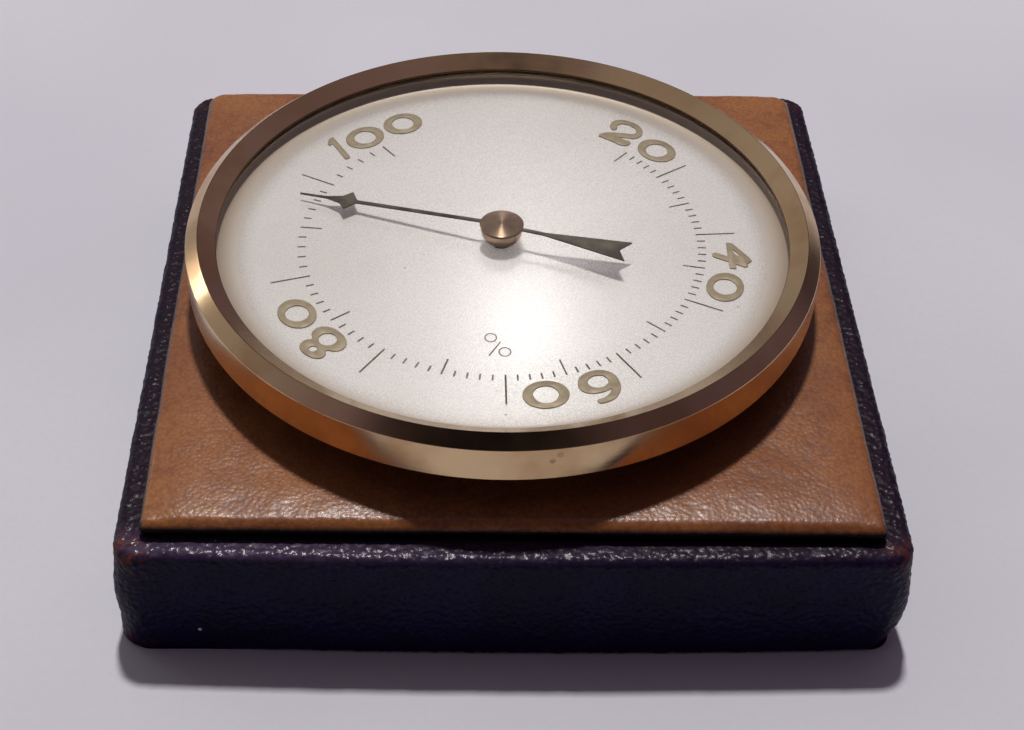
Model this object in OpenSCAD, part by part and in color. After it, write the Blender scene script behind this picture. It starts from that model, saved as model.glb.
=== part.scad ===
// Desk hygrometer: a round dial in a brass bezel on a square, leather-topped block.
// Inside it a bundle of hair pulls a toothed sector, and the sector turns the pointer's pinion.
// Millimetres. The origin is on the underside, below the dial's centre. +Y points away from the reader, +Z is up.

/* [Base] */
// Width of the covered block
base_w = 101.1; // [96:0.1:140]
// Depth of the covered block
base_d = 102.5; // [96:0.1:140]
// Height of the covered block
base_h = 18; // [15:0.1:30]
// How far the block's middle lies to the right of the dial's
base_x = 0.7; // [0:0.05:1]
// How far the block's middle lies behind the dial's
base_y = 0.85; // [0:0.05:1]
// Radius of the block's upright corners
base_corner_r = 3.5; // [2:0.1:8]
// Rounding of the block's top edges
base_top_r = 1.3; // [0.3:0.1:1.9]
// Rounding of the block's bottom edges
base_bottom_r = 0.6; // [0.2:0.1:1.9]
// Thickness of the covering on the block
wrap_t = 0.9; // [0.4:0.1:1.5]
// Width of the covering that is turned in under the block
turn_in_w = 8; // [4:0.5:12]

/* [Pad] */
// Width of the leather pad
pad_w = 94.8; // [92:0.2:138]
// Depth of the leather pad
pad_d = 96.4; // [92:0.2:138]
// How far the pad's middle lies to the right of the dial's
pad_x = 0.6; // [0:0.05:1.2]
// How far the pad's middle lies behind the dial's
pad_y = 1; // [0:0.05:1.2]
// Height of the leather pad
pad_h = 3.4; // [2.4:0.1:8]
// Radius of the pad's corners
pad_corner_r = 3; // [2:0.1:8]
// Rounding of the pad's top edge
pad_edge_r = 1.5; // [0.5:0.1:1.9]
// Thickness of the leather
leather_t = 0.9; // [0.4:0.1:1.4]

/* [Case] */
// Outer radius of the case drum
drum_r = 39; // [37:0.1:39.6]
// Wall of the case drum
drum_wall = 0.8; // [0.5:0.1:1.2]
// Depth of the drum from the top of its flange to the underside of its floor
drum_depth = 18.5; // [17:0.1:19.5]
// Thickness of the drum's flange
flange_t = 0.6; // [0.4:0.1:0.8]
// Number of air holes in the drum
vent_count = 24; // [8:1:36]
// Radius of an air hole
vent_r = 0.8; // [0.4:0.1:1.2]
// Height of the air holes above the pad
vent_lift = 2.3; // [1.6:0.1:2.8]
// Gap round the drum in the block and the pad
case_fit = 0.25; // [0.1:0.05:0.5]

/* [Bezel] */
// Outer radius of the bezel's side band
bezel_r = 44.25; // [43.8:0.05:46]
// Thickness of the side band
bezel_wall = 1.25; // [1.1:0.05:1.6]
// Gap between the bezel's underside and the pad
bezel_gap = 4.75; // [3.6:0.05:6]
// Height of the side band
band_h = 5.1; // [4.8:0.05:6]
// Width of the outer bevel
bevel_w = 1.8; // [1:0.05:2.2]
// Height of the outer bevel
bevel_h = 1.5; // [0.8:0.05:2]
// Width of the cone from the ridge in to the glass
cone_w = 2.45; // [1.5:0.05:3]
// Drop of that cone
cone_drop = 1.7; // [0.8:0.05:1.9]
// Thickness of the lip over the glass
lip_t = 0.3; // [0.2:0.05:0.5]
// Height of the snap ring under the flange
snap_h = 0.55; // [0.4:0.05:0.6]
// Depth of its groove in the band
snap_groove = 0.45; // [0.3:0.05:0.5]

/* [Glass and dial] */
// Thickness of the glass
glass_t = 1.1; // [0.8:0.05:1.3]
// Rise of the domed glass
glass_rise = 2.5; // [2.3:0.05:3]
// Depth from the bezel's lip down to the dial
dial_depth = 2.5; // [2.3:0.05:2.7]
// Thickness of the dial plate
dial_t = 0.8; // [0.5:0.05:1]
// Width of the spacer ring between dial and glass
spacer_w = 1; // [0.6:0.05:1.4]
// Play round the glass, spacer, dial and flange inside the bezel
ring_fit = 0.1; // [0.05:0.01:0.15]
// Radius of the hole in the middle of the dial
dial_hole_r = 1.6; // [1.2:0.05:2]

/* [Pointer] */
// Direction of the pointer at rest, anticlockwise from +X
pointer_angle = 161.1; // [100:0.1:170]
// Length from the axis to the needle's tip
needle_reach = 30.7; // [27:0.1:36]
// Width of the needle in front of the arrowhead
needle_w = 0.34; // [0.2:0.02:0.6]
// Distance from the axis to the arrowhead's point
arrow_tip = 26.6; // [25:0.1:26.8]
// Distance from the axis to the arrowhead's barbs
arrow_barb = 23.2; // [22.6:0.1:24]
// Distance from the axis to the arrowhead's back
arrow_back = 21.9; // [18:0.1:22.4]
// Width across the barbs
arrow_w = 4; // [2:0.1:6]
// Width of the pointer's rod
rod_w = 0.55; // [0.4:0.05:0.9]
// Distance from the axis to the start of the tail vane
vane_start = 6.4; // [5:0.1:10]
// Distance from the axis to the tail's two points
tail_reach = 18.3; // [14:0.1:22]
// Width across the tail's two points
tail_w = 4.1; // [2:0.1:7]
// Depth of the notch in the tail
tail_notch = 1.3; // [0.4:0.1:3]
// Thickness of the pointer's sheet
hand_t = 0.25; // [0.15:0.05:0.3]
// Slope of the needle down towards the dial
needle_droop = 4; // [0:0.1:4.5]
// Height of the pointer's sheet above the dial
hand_lift = 2.8; // [2.6:0.05:2.9]
// Radius of the pointer's cap
cap_r = 3.12; // [2.4:0.02:4]
// Height of the cap
cap_h = 0.36; // [0.2:0.02:0.4]
// Radius of the stem under the pointer
stem_r = 1.3; // [1.1:0.05:1.8]
// Height of the cone that carries the pointer
collet_cone_h = 1.5; // [0.8:0.05:2]

/* [Movement] */
// Module of the teeth
tooth_module = 0.35; // [0.3:0.01:0.37]
// Teeth of the pointer's pinion
pinion_teeth = 12; // [12:1:14]
// Teeth that the sector's full circle would have
sector_circle_teeth = 120; // [110:1:124]
// Tooth thickness left out for play, on the pitch circle
tooth_play = 0.06; // [0.04:0.01:0.1]
// Direction from the pointer's axis to the sector's axis
sector_bearing = 155; // [150:1:160]
// Thickness of the sector's sheet
sector_t = 0.8; // [0.5:0.1:1.2]
// Length of the pinion
pinion_len = 2.7; // [1.6:0.1:3]
// Humidity range of the dial in pointer degrees, from rest down to the driest mark
dry_turn = 246.9; // [200:0.1:250]
// Pointer degrees from rest up to the dampest mark
damp_turn = 33.8; // [20:0.1:40]
// Radius at which the hair pulls on the sector
hook_r = 2.7; // [2.4:0.05:3]
// Thickness of the movement's two plates
plate_t = 1.2; // [0.8:0.1:1.4]
// Height of the spacers under the lower plate
spacer_h = 2.5; // [1.5:0.1:3]
// Height of the pillars between the plates
pillar_h = 7.8; // [7.4:0.1:8.4]
// Radius of the pillars
pillar_r = 2; // [1.6:0.1:2.4]
// Radius of the two arbors
arbor_r = 1; // [0.8:0.05:1.1]
// Radius of their pivots
pivot_r = 0.6; // [0.4:0.05:0.7]
// Radius of the pointer arbor above the bridge
tall_pivot_r = 0.8; // [0.6:0.05:0.9]
// Play of a pivot in its bush, on the radius
bush_play = 0.03; // [0.02:0.01:0.08]
// End play between a shoulder and a bush
end_play = 0.1; // [0.05:0.01:0.2]
// Turns of the hairspring
spring_turns = 5.5; // [3:0.5:7]
// Radius of the hairspring's outer end
spring_r = 6.6; // [5:0.1:8]
// Thickness of the hairspring's band
spring_band = 0.14; // [0.1:0.01:0.2]
// Height of the hairspring's band
spring_h = 0.5; // [0.3:0.05:0.8]

/* [Hair and calibration] */
// Radius of the hair bundle
hair_r = 0.25; // [0.15:0.05:0.3]
// Height of the hair above the sector's sheet
hair_lift = 1.3; // [1.2:0.05:1.5]
// Radius of the hook and anchor pins
pin_r = 0.45; // [0.3:0.05:0.5]
// Distance from the pointer's axis to the calibration shaft, along X
anchor_x = 31.5; // [28:0.1:32]
// Length of the anchor arm
anchor_arm_len = 4.5; // [3.5:0.1:5.5]
// Radius of the calibration shaft
shaft_r = 1.2; // [0.9:0.05:1.4]
// Radius of the screwdriver hole in the block's floor
key_hole_r = 3; // [2.6:0.1:4]

/* [Hidden] */
$fn = 64;
ring_fn = 180;
// A cut runs this far past the face that it opens
past = 1;
// Rounding of the foot of the leather, and of the edges of the boards inside
leather_foot_r = 0.3;
board_edge_r = 0.2;
pad_board_r = 0.5;

// Heights, from the table up
pad_top = base_h + pad_h;
bezel_bottom = pad_top + bezel_gap;
shoulder_z = bezel_bottom + band_h;
ridge_z = shoulder_z + bevel_h;
lip_z = ridge_z - cone_drop;
dial_top = lip_z - dial_depth;
flange_top = dial_top - dial_t;
flange_bottom = flange_top - flange_t;
drum_bottom = flange_top - drum_depth;
floor_top = drum_bottom + drum_wall;
glass_edge_z = lip_z - lip_t - glass_t;
hand_z = dial_top + hand_lift;
plate_z = floor_top + spacer_h;
plate_top = plate_z + plate_t;
bridge_z = plate_top + pillar_h;
bridge_top = bridge_z + plate_t;

// Radii inside the bezel
bore_r = bezel_r - bezel_wall;
inner_r = bore_r - ring_fit;
ridge_r = bezel_r - bevel_w;
glass_r = ridge_r - cone_w;
recess_r = drum_r + case_fit;
wall_r = drum_r - drum_wall;

// Gear pair
pressure = 20;
pinion_pitch_r = tooth_module * pinion_teeth / 2;
sector_pitch_r = tooth_module * sector_circle_teeth / 2;
centre_distance = pinion_pitch_r + sector_pitch_r;
pinion_tip_r = pinion_pitch_r + tooth_module;
pinion_root_r = pinion_pitch_r - 1.25 * tooth_module;
sector_tip_r = sector_pitch_r + 0.62 * tooth_module;
sector_root_r = sector_pitch_r - 1.25 * tooth_module;
ratio = sector_circle_teeth / pinion_teeth;
sector_pos = centre_distance * [cos(sector_bearing), sin(sector_bearing)];
tooth_step = 360 / sector_circle_teeth;
swing_dry = dry_turn / ratio;
swing_damp = damp_turn / ratio;
sector_margin = 3.6;
first_tooth = -ceil((swing_damp + sector_margin) / tooth_step);
last_tooth = ceil((swing_dry + sector_margin) / tooth_step);
sector_z = plate_top + 3.1;
sector_top = sector_z + sector_t;
pinion_z = sector_z + sector_t / 2 - pinion_len / 2;

// Hair line: the hook stands square to the hair in the middle of its swing
hair_z = sector_top + hair_lift;
hook_bearing = 90 + (swing_dry - swing_damp) / 2;
hook_pos = sector_pos + hook_r * [cos(hook_bearing), sin(hook_bearing)];
anchor_pos = [anchor_x, hook_pos[1]];
shaft_pos = anchor_pos - [0, anchor_arm_len];
eye_r = 1.1;
eye_h = 1;
crimp_len = 2.6;
clip_len = 4.5;
clip_bore = hair_r + 0.25;
clip_wall = 0.25;
// Free length that the hair's end keeps inside the anchor clip
hair_end_gap = 2.2;
arm_t = 0.8;
arm_z = hair_z - 1.1 - arm_t;

// Small fittings
screw_r = 0.9;
screw_head_r = 1.9;
screw_head_h = 0.8;
slot_w = 0.5;
bush_r = 1.6;
bush_flange_r = 2.3;
bush_flange_t = 0.4;
pad_end_r = 3.2;
bar_w = 5;
plate_r = 29;
plate_half_d = 22;
pillar_spots = [[-24, -10], [14, -16], [8, 19]];
spacer_spots = [[-13, -17], [25, -4], [-8, 19]];
case_screw_ring = 34;
case_screw_bearings = [80, 205, 310];
case_screw_depth = 5;
collet_gap = 0.3;
spring_z = hair_z + 0.7;
spring_collet_r = 1.8;
spring_collet_h = 0.9;
spring_steps = 24;
stud_r = 0.5;
sector_hub_r = hook_r + 1.2;
sector_rim = 2.2;
spoke_w = 6;
key_head_r = 2.2;
key_head_h = 1.5;
shaft_bush_r = 2;
shaft_bush_len = 2.8;
seat_play = 0.02;
shaft_collar_h = 0.7;

lower_shoulder = plate_top + bush_flange_t + end_play;
upper_shoulder = bridge_z - bush_flange_t - end_play;
pivot_foot = plate_z - 0.2;
hair_start = hook_pos[0] + pin_r + 0.4;
hair_end = anchor_pos[0] - eye_r - hair_end_gap;
shaft_bush_top = drum_bottom + shaft_bush_len;

// A strip of a slab's edge, from its inner side at x = 0 out to its rounded face
module edge_profile(width, height, top_r, bottom_r) {
    translate([0, bottom_r]) square([width, height - top_r - bottom_r]);
    square([width - bottom_r, height / 2]);
    translate([0, height / 2]) square([width - top_r, height / 2]);
    translate([width - bottom_r, bottom_r]) circle(r = bottom_r);
    translate([width - top_r, height - top_r]) circle(r = top_r);
}

// A slab with upright corners of one radius and rounded top and bottom edges
module slab(width, depth, height, corner_r, top_r, bottom_r) {
    flat_x = width - 2 * corner_r;
    flat_y = depth - 2 * corner_r;
    translate([-flat_x / 2, -flat_y / 2, 0]) cube([flat_x, flat_y, height]);
    for (side = [0, 180]) {
        rotate([0, 0, side]) translate([flat_x / 2, flat_y / 2, 0]) rotate([90, 0, 0])
            linear_extrude(flat_y) edge_profile(corner_r, height, top_r, bottom_r);
        rotate([0, 0, side + 90]) translate([flat_y / 2, flat_x / 2, 0]) rotate([90, 0, 0])
            linear_extrude(flat_x) edge_profile(corner_r, height, top_r, bottom_r);
    }
    for (sx = [-1, 1], sy = [-1, 1])
        translate([sx * flat_x / 2, sy * flat_y / 2, 0])
            rotate([0, 0, sx > 0 ? (sy > 0 ? 0 : -90) : (sy > 0 ? 90 : 180)])
                rotate_extrude(angle = 90) edge_profile(corner_r, height, top_r, bottom_r);
}

// The round recess for the case, from height z up
module case_recess(z) {
    translate([0, 0, z]) cylinder(r = recess_r, h = pad_top - z + past, $fn = ring_fn);
}

// The hole under the calibration shaft
module key_hole() {
    translate([shaft_pos[0], shaft_pos[1], -past]) cylinder(r = key_hole_r, h = drum_bottom + 2 * past);
}

// Puts its children at each of the case screws
module at_case_screws() {
    for (bearing = case_screw_bearings)
        rotate([0, 0, bearing]) translate([case_screw_ring, 0, 0]) children();
}

// Puts its children at each spot of a list
module at_spots(spots) {
    for (spot = spots)
        translate([spot[0], spot[1], 0]) children();
}

// A screw with a slotted head: the head sits at z = 0 and the shank hangs below
module slotted_screw(shank_r, shank_len, head_r, head_h) {
    translate([0, 0, -shank_len]) cylinder(r = shank_r, h = shank_len);
    difference() {
        cylinder(r = head_r, h = head_h);
        translate([-head_r, -slot_w / 2, head_h / 2]) cube([2 * head_r, slot_w, head_h]);
    }
}

// A flanged bush that fills a plate from z = 0 up and has its flange on top
module bush(outer_r, bore, length, flange_r, flange_t) {
    difference() {
        union() {
            cylinder(r = outer_r, h = length);
            translate([0, 0, length]) cylinder(r = flange_r, h = flange_t);
        }
        translate([0, 0, -past]) cylinder(r = bore, h = length + flange_t + 2 * past);
    }
}

// A flat bar with round ends between two points
module bar(from, to, width) {
    along = to - from;
    translate(from) circle(d = width);
    translate(to) circle(d = width);
    translate(from) rotate([0, 0, atan2(along[1], along[0])])
        translate([0, -width / 2]) square([norm(along), width]);
}

// Involute tooth maths: the roll function of an angle, and a tooth's half angle at radius r
function roll(angle) = tan(angle) * 180 / PI - angle;
function flank_angle(r, base_r) = r <= base_r ? 0 : acos(base_r / r);
function half_tooth(r, teeth, pitch_r, base_r) =
    (90 / teeth) - (tooth_play / 2 / pitch_r) * 180 / PI + roll(pressure) - roll(flank_angle(r, base_r));

// Outline of one tooth that points at a bearing, from the foot's lower bearing round to its upper one
function tooth_outline(bearing, foot_r, teeth, pitch_r, root_r, tip_r) =
    let (
        base_r = pitch_r * cos(pressure),
        start_r = max(base_r, root_r),
        steps = 4,
        radii = concat([foot_r], [for (i = [0:steps]) start_r + (tip_r - start_r) * i / steps]),
        last = len(radii) - 1,
        half = [for (r = radii) half_tooth(r, teeth, pitch_r, base_r)]
    )
    concat(
        [for (i = [0:last]) radii[i] * [cos(bearing - half[i]), sin(bearing - half[i])]],
        [for (i = [last:-1:0]) radii[i] * [cos(bearing + half[i]), sin(bearing + half[i])]]
    );

// The block inside its covering, without its recess
module block_core() {
    translate([base_x, base_y, wrap_t])
        slab(base_w - 2 * wrap_t, base_d - 2 * wrap_t, base_h - 2 * wrap_t, base_corner_r - wrap_t / 2,
            max(base_top_r - wrap_t, board_edge_r), board_edge_r);
}

module base_block() {
    color("burlywood") difference() {
        block_core();
        case_recess(drum_bottom);
        key_hole();
        at_case_screws() translate([0, 0, drum_bottom - case_screw_depth])
            cylinder(r = screw_r, h = case_screw_depth + past);
    }
}

module base_wrap() {
    color("#1c1a1a") difference() {
        translate([base_x, base_y, 0]) slab(base_w, base_d, base_h, base_corner_r, base_top_r, base_bottom_r);
        block_core();
        case_recess(base_h - 2 * wrap_t);
        felt_opening(-past, wrap_t + past / 2);
    }
}

// The opening in the underside that the felt fills, between two heights
module felt_opening(from, to) {
    width = base_w - 2 * turn_in_w;
    depth = base_d - 2 * turn_in_w;
    translate([base_x - width / 2, base_y - depth / 2, from]) cube([width, depth, to - from]);
}

module base_felt() {
    color("#3a4a3c") difference() {
        felt_opening(0, wrap_t);
        key_hole();
    }
}

// The pad's board inside its leather, without its hole
module board_core() {
    translate([pad_x, pad_y, base_h])
        slab(pad_w - 2 * leather_t, pad_d - 2 * leather_t, pad_h - leather_t, pad_corner_r - leather_t / 2,
            pad_board_r, board_edge_r);
}

module pad_board() {
    color("#9c8a6c") difference() {
        board_core();
        case_recess(base_h - past);
    }
}

module pad_leather() {
    color("#a8743f") difference() {
        translate([pad_x, pad_y, base_h]) slab(pad_w, pad_d, pad_h, pad_corner_r, pad_edge_r, leather_foot_r);
        board_core();
        translate([pad_x, pad_y, base_h - past])
            slab(pad_w - 4 * leather_t, pad_d - 4 * leather_t, past + pad_h / 2, pad_corner_r, board_edge_r,
                board_edge_r);
        case_recess(base_h - past);
    }
}

// Round can with a flange at the top, air holes above the pad and a flat floor
module case_drum() {
    color("#8d8a80") difference() {
        union() {
            translate([0, 0, drum_bottom]) cylinder(r = drum_r, h = drum_depth, $fn = ring_fn);
            translate([0, 0, flange_bottom]) cylinder(r = inner_r, h = flange_t, $fn = ring_fn);
        }
        translate([0, 0, floor_top]) cylinder(r = wall_r, h = drum_depth, $fn = ring_fn);
        for (i = [0:vent_count - 1])
            rotate([0, 0, (i + 0.5) * 360 / vent_count]) translate([wall_r - past, 0, pad_top + vent_lift])
                rotate([0, 90, 0]) cylinder(r = vent_r, h = drum_wall + 2 * past, $fn = 24);
        at_case_screws() translate([0, 0, drum_bottom - past])
            cylinder(r = screw_r, h = drum_wall + 2 * past);
        at_spots(spacer_spots) translate([0, 0, drum_bottom - past])
            cylinder(r = screw_r, h = drum_wall + 2 * past);
        translate([shaft_pos[0], shaft_pos[1], drum_bottom - past])
            cylinder(r = shaft_bush_r + seat_play, h = drum_wall + 2 * past);
    }
}

module case_screws() {
    color("#b9b3a4") at_case_screws() translate([0, 0, floor_top])
        slotted_screw(screw_r, drum_wall + case_screw_depth, screw_head_r, screw_head_h);
}

// The wall that is seen between the dial and the glass
module spacer_ring() {
    color("#7d7350") translate([0, 0, dial_top]) difference() {
        cylinder(r = inner_r, h = glass_edge_z - dial_top, $fn = ring_fn);
        translate([0, 0, -past]) cylinder(r = inner_r - spacer_w, h = dial_depth + 2 * past, $fn = ring_fn);
    }
}

// Side band, outer bevel, sharp ridge and the cone that falls to the glass
module bezel() {
    groove_top = flange_bottom;
    groove_bottom = flange_bottom - snap_h;
    color("#b08d3e") rotate_extrude($fn = ring_fn) polygon([
        [bore_r, bezel_bottom],
        [bezel_r, bezel_bottom],
        [bezel_r, shoulder_z],
        [ridge_r, ridge_z],
        [glass_r, lip_z],
        [glass_r, lip_z - lip_t],
        [bore_r, lip_z - lip_t],
        [bore_r, groove_top],
        [bore_r + snap_groove, groove_top],
        [bore_r + snap_groove, groove_bottom],
        [bore_r, groove_bottom]
    ]);
}

// Split ring in the bezel's groove, under the drum's flange
module bezel_snap_ring() {
    color("#8c8f92") translate([0, 0, flange_bottom - snap_h]) difference() {
        cylinder(r = bore_r + snap_groove - ring_fit, h = snap_h, $fn = ring_fn);
        translate([0, 0, -past]) cylinder(r = inner_r - 0.5, h = snap_h + 2 * past, $fn = ring_fn);
        translate([0, bore_r - past, -past]) cube([2, 4, snap_h + 2 * past]);
    }
}

// Sphere radius of the dome, from its rise and the radius of its foot
function dome_r(foot_r, rise) = (foot_r * foot_r + rise * rise) / (2 * rise);

// Half section of a dome's space above height z, out to the lip
module dome_section(z, rise) {
    intersection() {
        translate([0, z + rise - dome_r(glass_r, rise)]) circle(r = dome_r(glass_r, rise), $fn = 1440);
        translate([0, z]) square([glass_r, rise + past]);
    }
}

// Domed glass with a flat rim that lies on the spacer ring
module glass() {
    color("#dfe8ea", 0.3) rotate_extrude($fn = ring_fn) difference() {
        union() {
            translate([0, glass_edge_z]) square([inner_r, glass_t]);
            dome_section(glass_edge_z + glass_t, glass_rise);
        }
        translate([0, -past]) dome_section(glass_edge_z + past, glass_rise);
        translate([0, glass_edge_z - 2 * past]) square([glass_r, 2 * past]);
    }
}

module dial() {
    color("#d8d2c4") translate([0, 0, flange_top]) difference() {
        cylinder(r = inner_r, h = dial_t, $fn = ring_fn);
        translate([0, 0, -past]) cylinder(r = dial_hole_r, h = dial_t + 2 * past);
    }
}

module movement_plate() {
    color("#c2a24e") translate([0, 0, plate_z]) difference() {
        linear_extrude(plate_t) intersection() {
            circle(r = plate_r, $fn = ring_fn);
            square([2 * plate_r, 2 * plate_half_d], center = true);
        }
        translate([0, 0, -past]) {
            cylinder(r = bush_r, h = plate_t + 2 * past);
            translate(sector_pos) cylinder(r = bush_r, h = plate_t + 2 * past);
            at_spots(spacer_spots) cylinder(r = screw_r, h = plate_t + 2 * past);
        }
    }
}

module plate_spacers() {
    color("#b9b3a4") at_spots(spacer_spots) translate([0, 0, floor_top]) difference() {
        cylinder(r = pillar_r, h = spacer_h);
        translate([0, 0, -past]) cylinder(r = screw_r, h = spacer_h + 2 * past);
    }
}

module plate_screws() {
    color("#9a9ea3") at_spots(spacer_spots) translate([0, 0, plate_top])
        slotted_screw(screw_r, plate_t + spacer_h + drum_wall, screw_head_r, screw_head_h);
}

module bridge_pillars() {
    color("#c2a24e") at_spots(pillar_spots) translate([0, 0, plate_top]) difference() {
        cylinder(r = pillar_r, h = pillar_h);
        translate([0, 0, pillar_h / 2]) cylinder(r = screw_r, h = pillar_h);
    }
}

// Four arms from the pointer's axis to the pillars and to the sector's pivot
module movement_bridge() {
    color("#c2a24e") translate([0, 0, bridge_z]) difference() {
        linear_extrude(plate_t) {
            circle(r = pad_end_r + 1);
            for (spot = concat(pillar_spots, [sector_pos])) {
                bar([0, 0], spot, bar_w);
                translate(spot) circle(r = pad_end_r);
            }
            bar(pillar_spots[0], sector_pos, bar_w);
            translate([0, 1 - spring_r - 2]) square([2 * stud_r + 2, spring_r + 2], center = true);
        }
        translate([0, 0, -past]) {
            cylinder(r = bush_r, h = plate_t + 2 * past);
            translate(sector_pos) cylinder(r = bush_r, h = plate_t + 2 * past);
            at_spots(pillar_spots) cylinder(r = screw_r, h = plate_t + 2 * past);
            translate([0, -spring_r - stud_r]) cylinder(r = stud_r, h = plate_t + 2 * past);
        }
    }
}

module bridge_screws() {
    color("#9a9ea3") at_spots(pillar_spots) translate([0, 0, bridge_top])
        slotted_screw(screw_r, plate_t + pillar_h / 2, screw_head_r, screw_head_h);
}

// Two bushes on one axis: the lower has its flange up, the upper has its flange down
module bush_pair(lower_bore, upper_bore) {
    translate([0, 0, plate_z]) bush(bush_r, lower_bore, plate_t, bush_flange_r, bush_flange_t);
    translate([0, 0, bridge_top]) mirror([0, 0, 1])
        bush(bush_r, upper_bore, plate_t, bush_flange_r, bush_flange_t);
}

module pointer_bushes() {
    color("#d9b65a") bush_pair(pivot_r + bush_play, tall_pivot_r + bush_play);
}

module sector_bushes() {
    color("#d9b65a") translate(sector_pos) bush_pair(pivot_r + bush_play, pivot_r + bush_play);
}

module pointer_arbor() {
    color("#9a9ea3") {
        translate([0, 0, pivot_foot]) cylinder(r = pivot_r, h = lower_shoulder - pivot_foot);
        translate([0, 0, lower_shoulder]) cylinder(r = arbor_r, h = upper_shoulder - lower_shoulder);
        translate([0, 0, upper_shoulder]) cylinder(r = tall_pivot_r, h = hand_z + hand_t - upper_shoulder);
    }
}

module sector_arbor() {
    top = bridge_top + 0.2;
    color("#9a9ea3") translate(sector_pos) {
        translate([0, 0, pivot_foot]) cylinder(r = pivot_r, h = lower_shoulder - pivot_foot);
        translate([0, 0, lower_shoulder]) cylinder(r = arbor_r, h = upper_shoulder - lower_shoulder);
        translate([0, 0, upper_shoulder]) cylinder(r = pivot_r, h = top - upper_shoulder);
    }
}

// The pinion has a gap where a tooth of the sector points at it
module pointer_pinion() {
    color("#b3b6b8") translate([0, 0, pinion_z]) difference() {
        linear_extrude(pinion_len) polygon([
            for (i = [0:pinion_teeth - 1])
                each tooth_outline(sector_bearing + (i + 0.5) * 360 / pinion_teeth, pinion_root_r,
                    pinion_teeth, pinion_pitch_r, pinion_root_r, pinion_tip_r)
        ]);
        translate([0, 0, -past]) cylinder(r = arbor_r, h = pinion_len + 2 * past);
    }
}

// A slice of pie for cutting the sector, from one bearing to another
module pie(from, to, radius) {
    polygon([[0, 0], radius * [cos(from), sin(from)],
        1.2 * radius * [cos((from + to) / 2), sin((from + to) / 2)], radius * [cos(to), sin(to)]]);
}

// The sector's bearings are counted from the line that points at the pinion
module toothed_sector() {
    rim_from = (first_tooth - 0.5) * tooth_step;
    rim_to = (last_tooth + 0.5) * tooth_step;
    spoke_turn = asin(spoke_w / 2 / (sector_root_r - sector_rim));
    color("#c9a44a") translate([sector_pos[0], sector_pos[1], sector_z]) difference() {
        union() {
            linear_extrude(sector_t) rotate([0, 0, sector_bearing + 180]) {
                difference() {
                    intersection() {
                        circle(r = sector_root_r, $fn = ring_fn);
                        pie(rim_from, rim_to, sector_root_r + 3);
                    }
                    intersection() {
                        circle(r = sector_root_r - sector_rim, $fn = ring_fn);
                        translate(9 * [cos((rim_from + rim_to) / 2), sin((rim_from + rim_to) / 2)])
                            pie(rim_from - 1 + spoke_turn, rim_to + 1 - spoke_turn, sector_root_r + 3);
                    }
                }
                for (i = [first_tooth:last_tooth])
                    polygon(tooth_outline(i * tooth_step, sector_root_r - 0.2, sector_circle_teeth,
                        sector_pitch_r, sector_root_r, sector_tip_r));
            }
            cylinder(r = sector_hub_r, h = sector_t);
        }
        translate([0, 0, -past]) cylinder(r = arbor_r, h = sector_t + 2 * past);
        translate([hook_pos[0] - sector_pos[0], hook_pos[1] - sector_pos[1], -past])
            cylinder(r = pin_r, h = sector_t + 2 * past);
    }
}

// Upright pin with a small head that holds an eye of the hair line
module eye_pin(foot) {
    translate([0, 0, foot]) cylinder(r = pin_r, h = hair_z + eye_h / 2 + end_play - foot);
    translate([0, 0, hair_z + eye_h / 2 + end_play]) cylinder(r = pin_r + 0.3, h = 0.3);
}

// Ring round an eye pin
module eye() {
    translate([0, 0, hair_z - eye_h / 2]) cylinder(r = eye_r, h = eye_h);
}

module eye_bore() {
    translate([0, 0, hair_z - eye_h / 2 - past]) cylinder(r = pin_r + bush_play, h = eye_h + 2 * past);
}

module hook_pin() {
    color("#9a9ea3") translate(hook_pos) eye_pin(sector_z);
}

module hair_eyelet() {
    color("#d9b65a") translate(hook_pos) difference() {
        union() {
            eye();
            translate([pin_r + 0.4, 0, hair_z]) rotate([0, 90, 0]) cylinder(r = hair_r + clip_wall, h = crimp_len);
        }
        eye_bore();
        translate([pin_r + 0.4, 0, hair_z]) rotate([0, 90, 0]) cylinder(r = hair_r, h = crimp_len + past);
    }
}

module hair_bundle() {
    color("#6b4a2c") translate([hair_start, hook_pos[1], hair_z]) rotate([0, 90, 0])
        cylinder(r = hair_r, h = hair_end - hair_start);
}

// Ring on the anchor pin with the tube that takes the hair's far end
module anchor_clip() {
    color("#d9b65a") translate(anchor_pos) difference() {
        union() {
            eye();
            translate([-clip_len, 0, hair_z]) rotate([0, 90, 0])
                cylinder(r = clip_bore + clip_wall, h = clip_len - pin_r - 0.4);
        }
        eye_bore();
        translate([-clip_len - past, 0, hair_z]) rotate([0, 90, 0])
            cylinder(r = clip_bore, h = clip_len + past - eye_r);
    }
}

module anchor_arm() {
    color("#c2a24e") {
        translate([0, 0, arm_z]) difference() {
            linear_extrude(arm_t) bar(shaft_pos, anchor_pos, 3.6);
            translate([shaft_pos[0], shaft_pos[1], -past]) cylinder(r = shaft_r, h = arm_t + 2 * past);
        }
        translate(anchor_pos) eye_pin(arm_z + arm_t / 2);
    }
}

// Its slotted foot is turned from below, through the hole in the block
module calibration_shaft() {
    foot = drum_bottom - end_play - key_head_h;
    color("#9a9ea3") translate([shaft_pos[0], shaft_pos[1], 0]) {
        difference() {
            translate([0, 0, foot]) cylinder(r = key_head_r, h = key_head_h);
            translate([-key_head_r, -slot_w / 2, foot - past]) cube([2 * key_head_r, slot_w, past + 0.7]);
        }
        translate([0, 0, foot + key_head_h]) cylinder(r = shaft_r, h = arm_z + arm_t - foot - key_head_h);
        translate([0, 0, shaft_bush_top + end_play]) cylinder(r = key_head_r, h = shaft_collar_h);
    }
}

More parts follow.
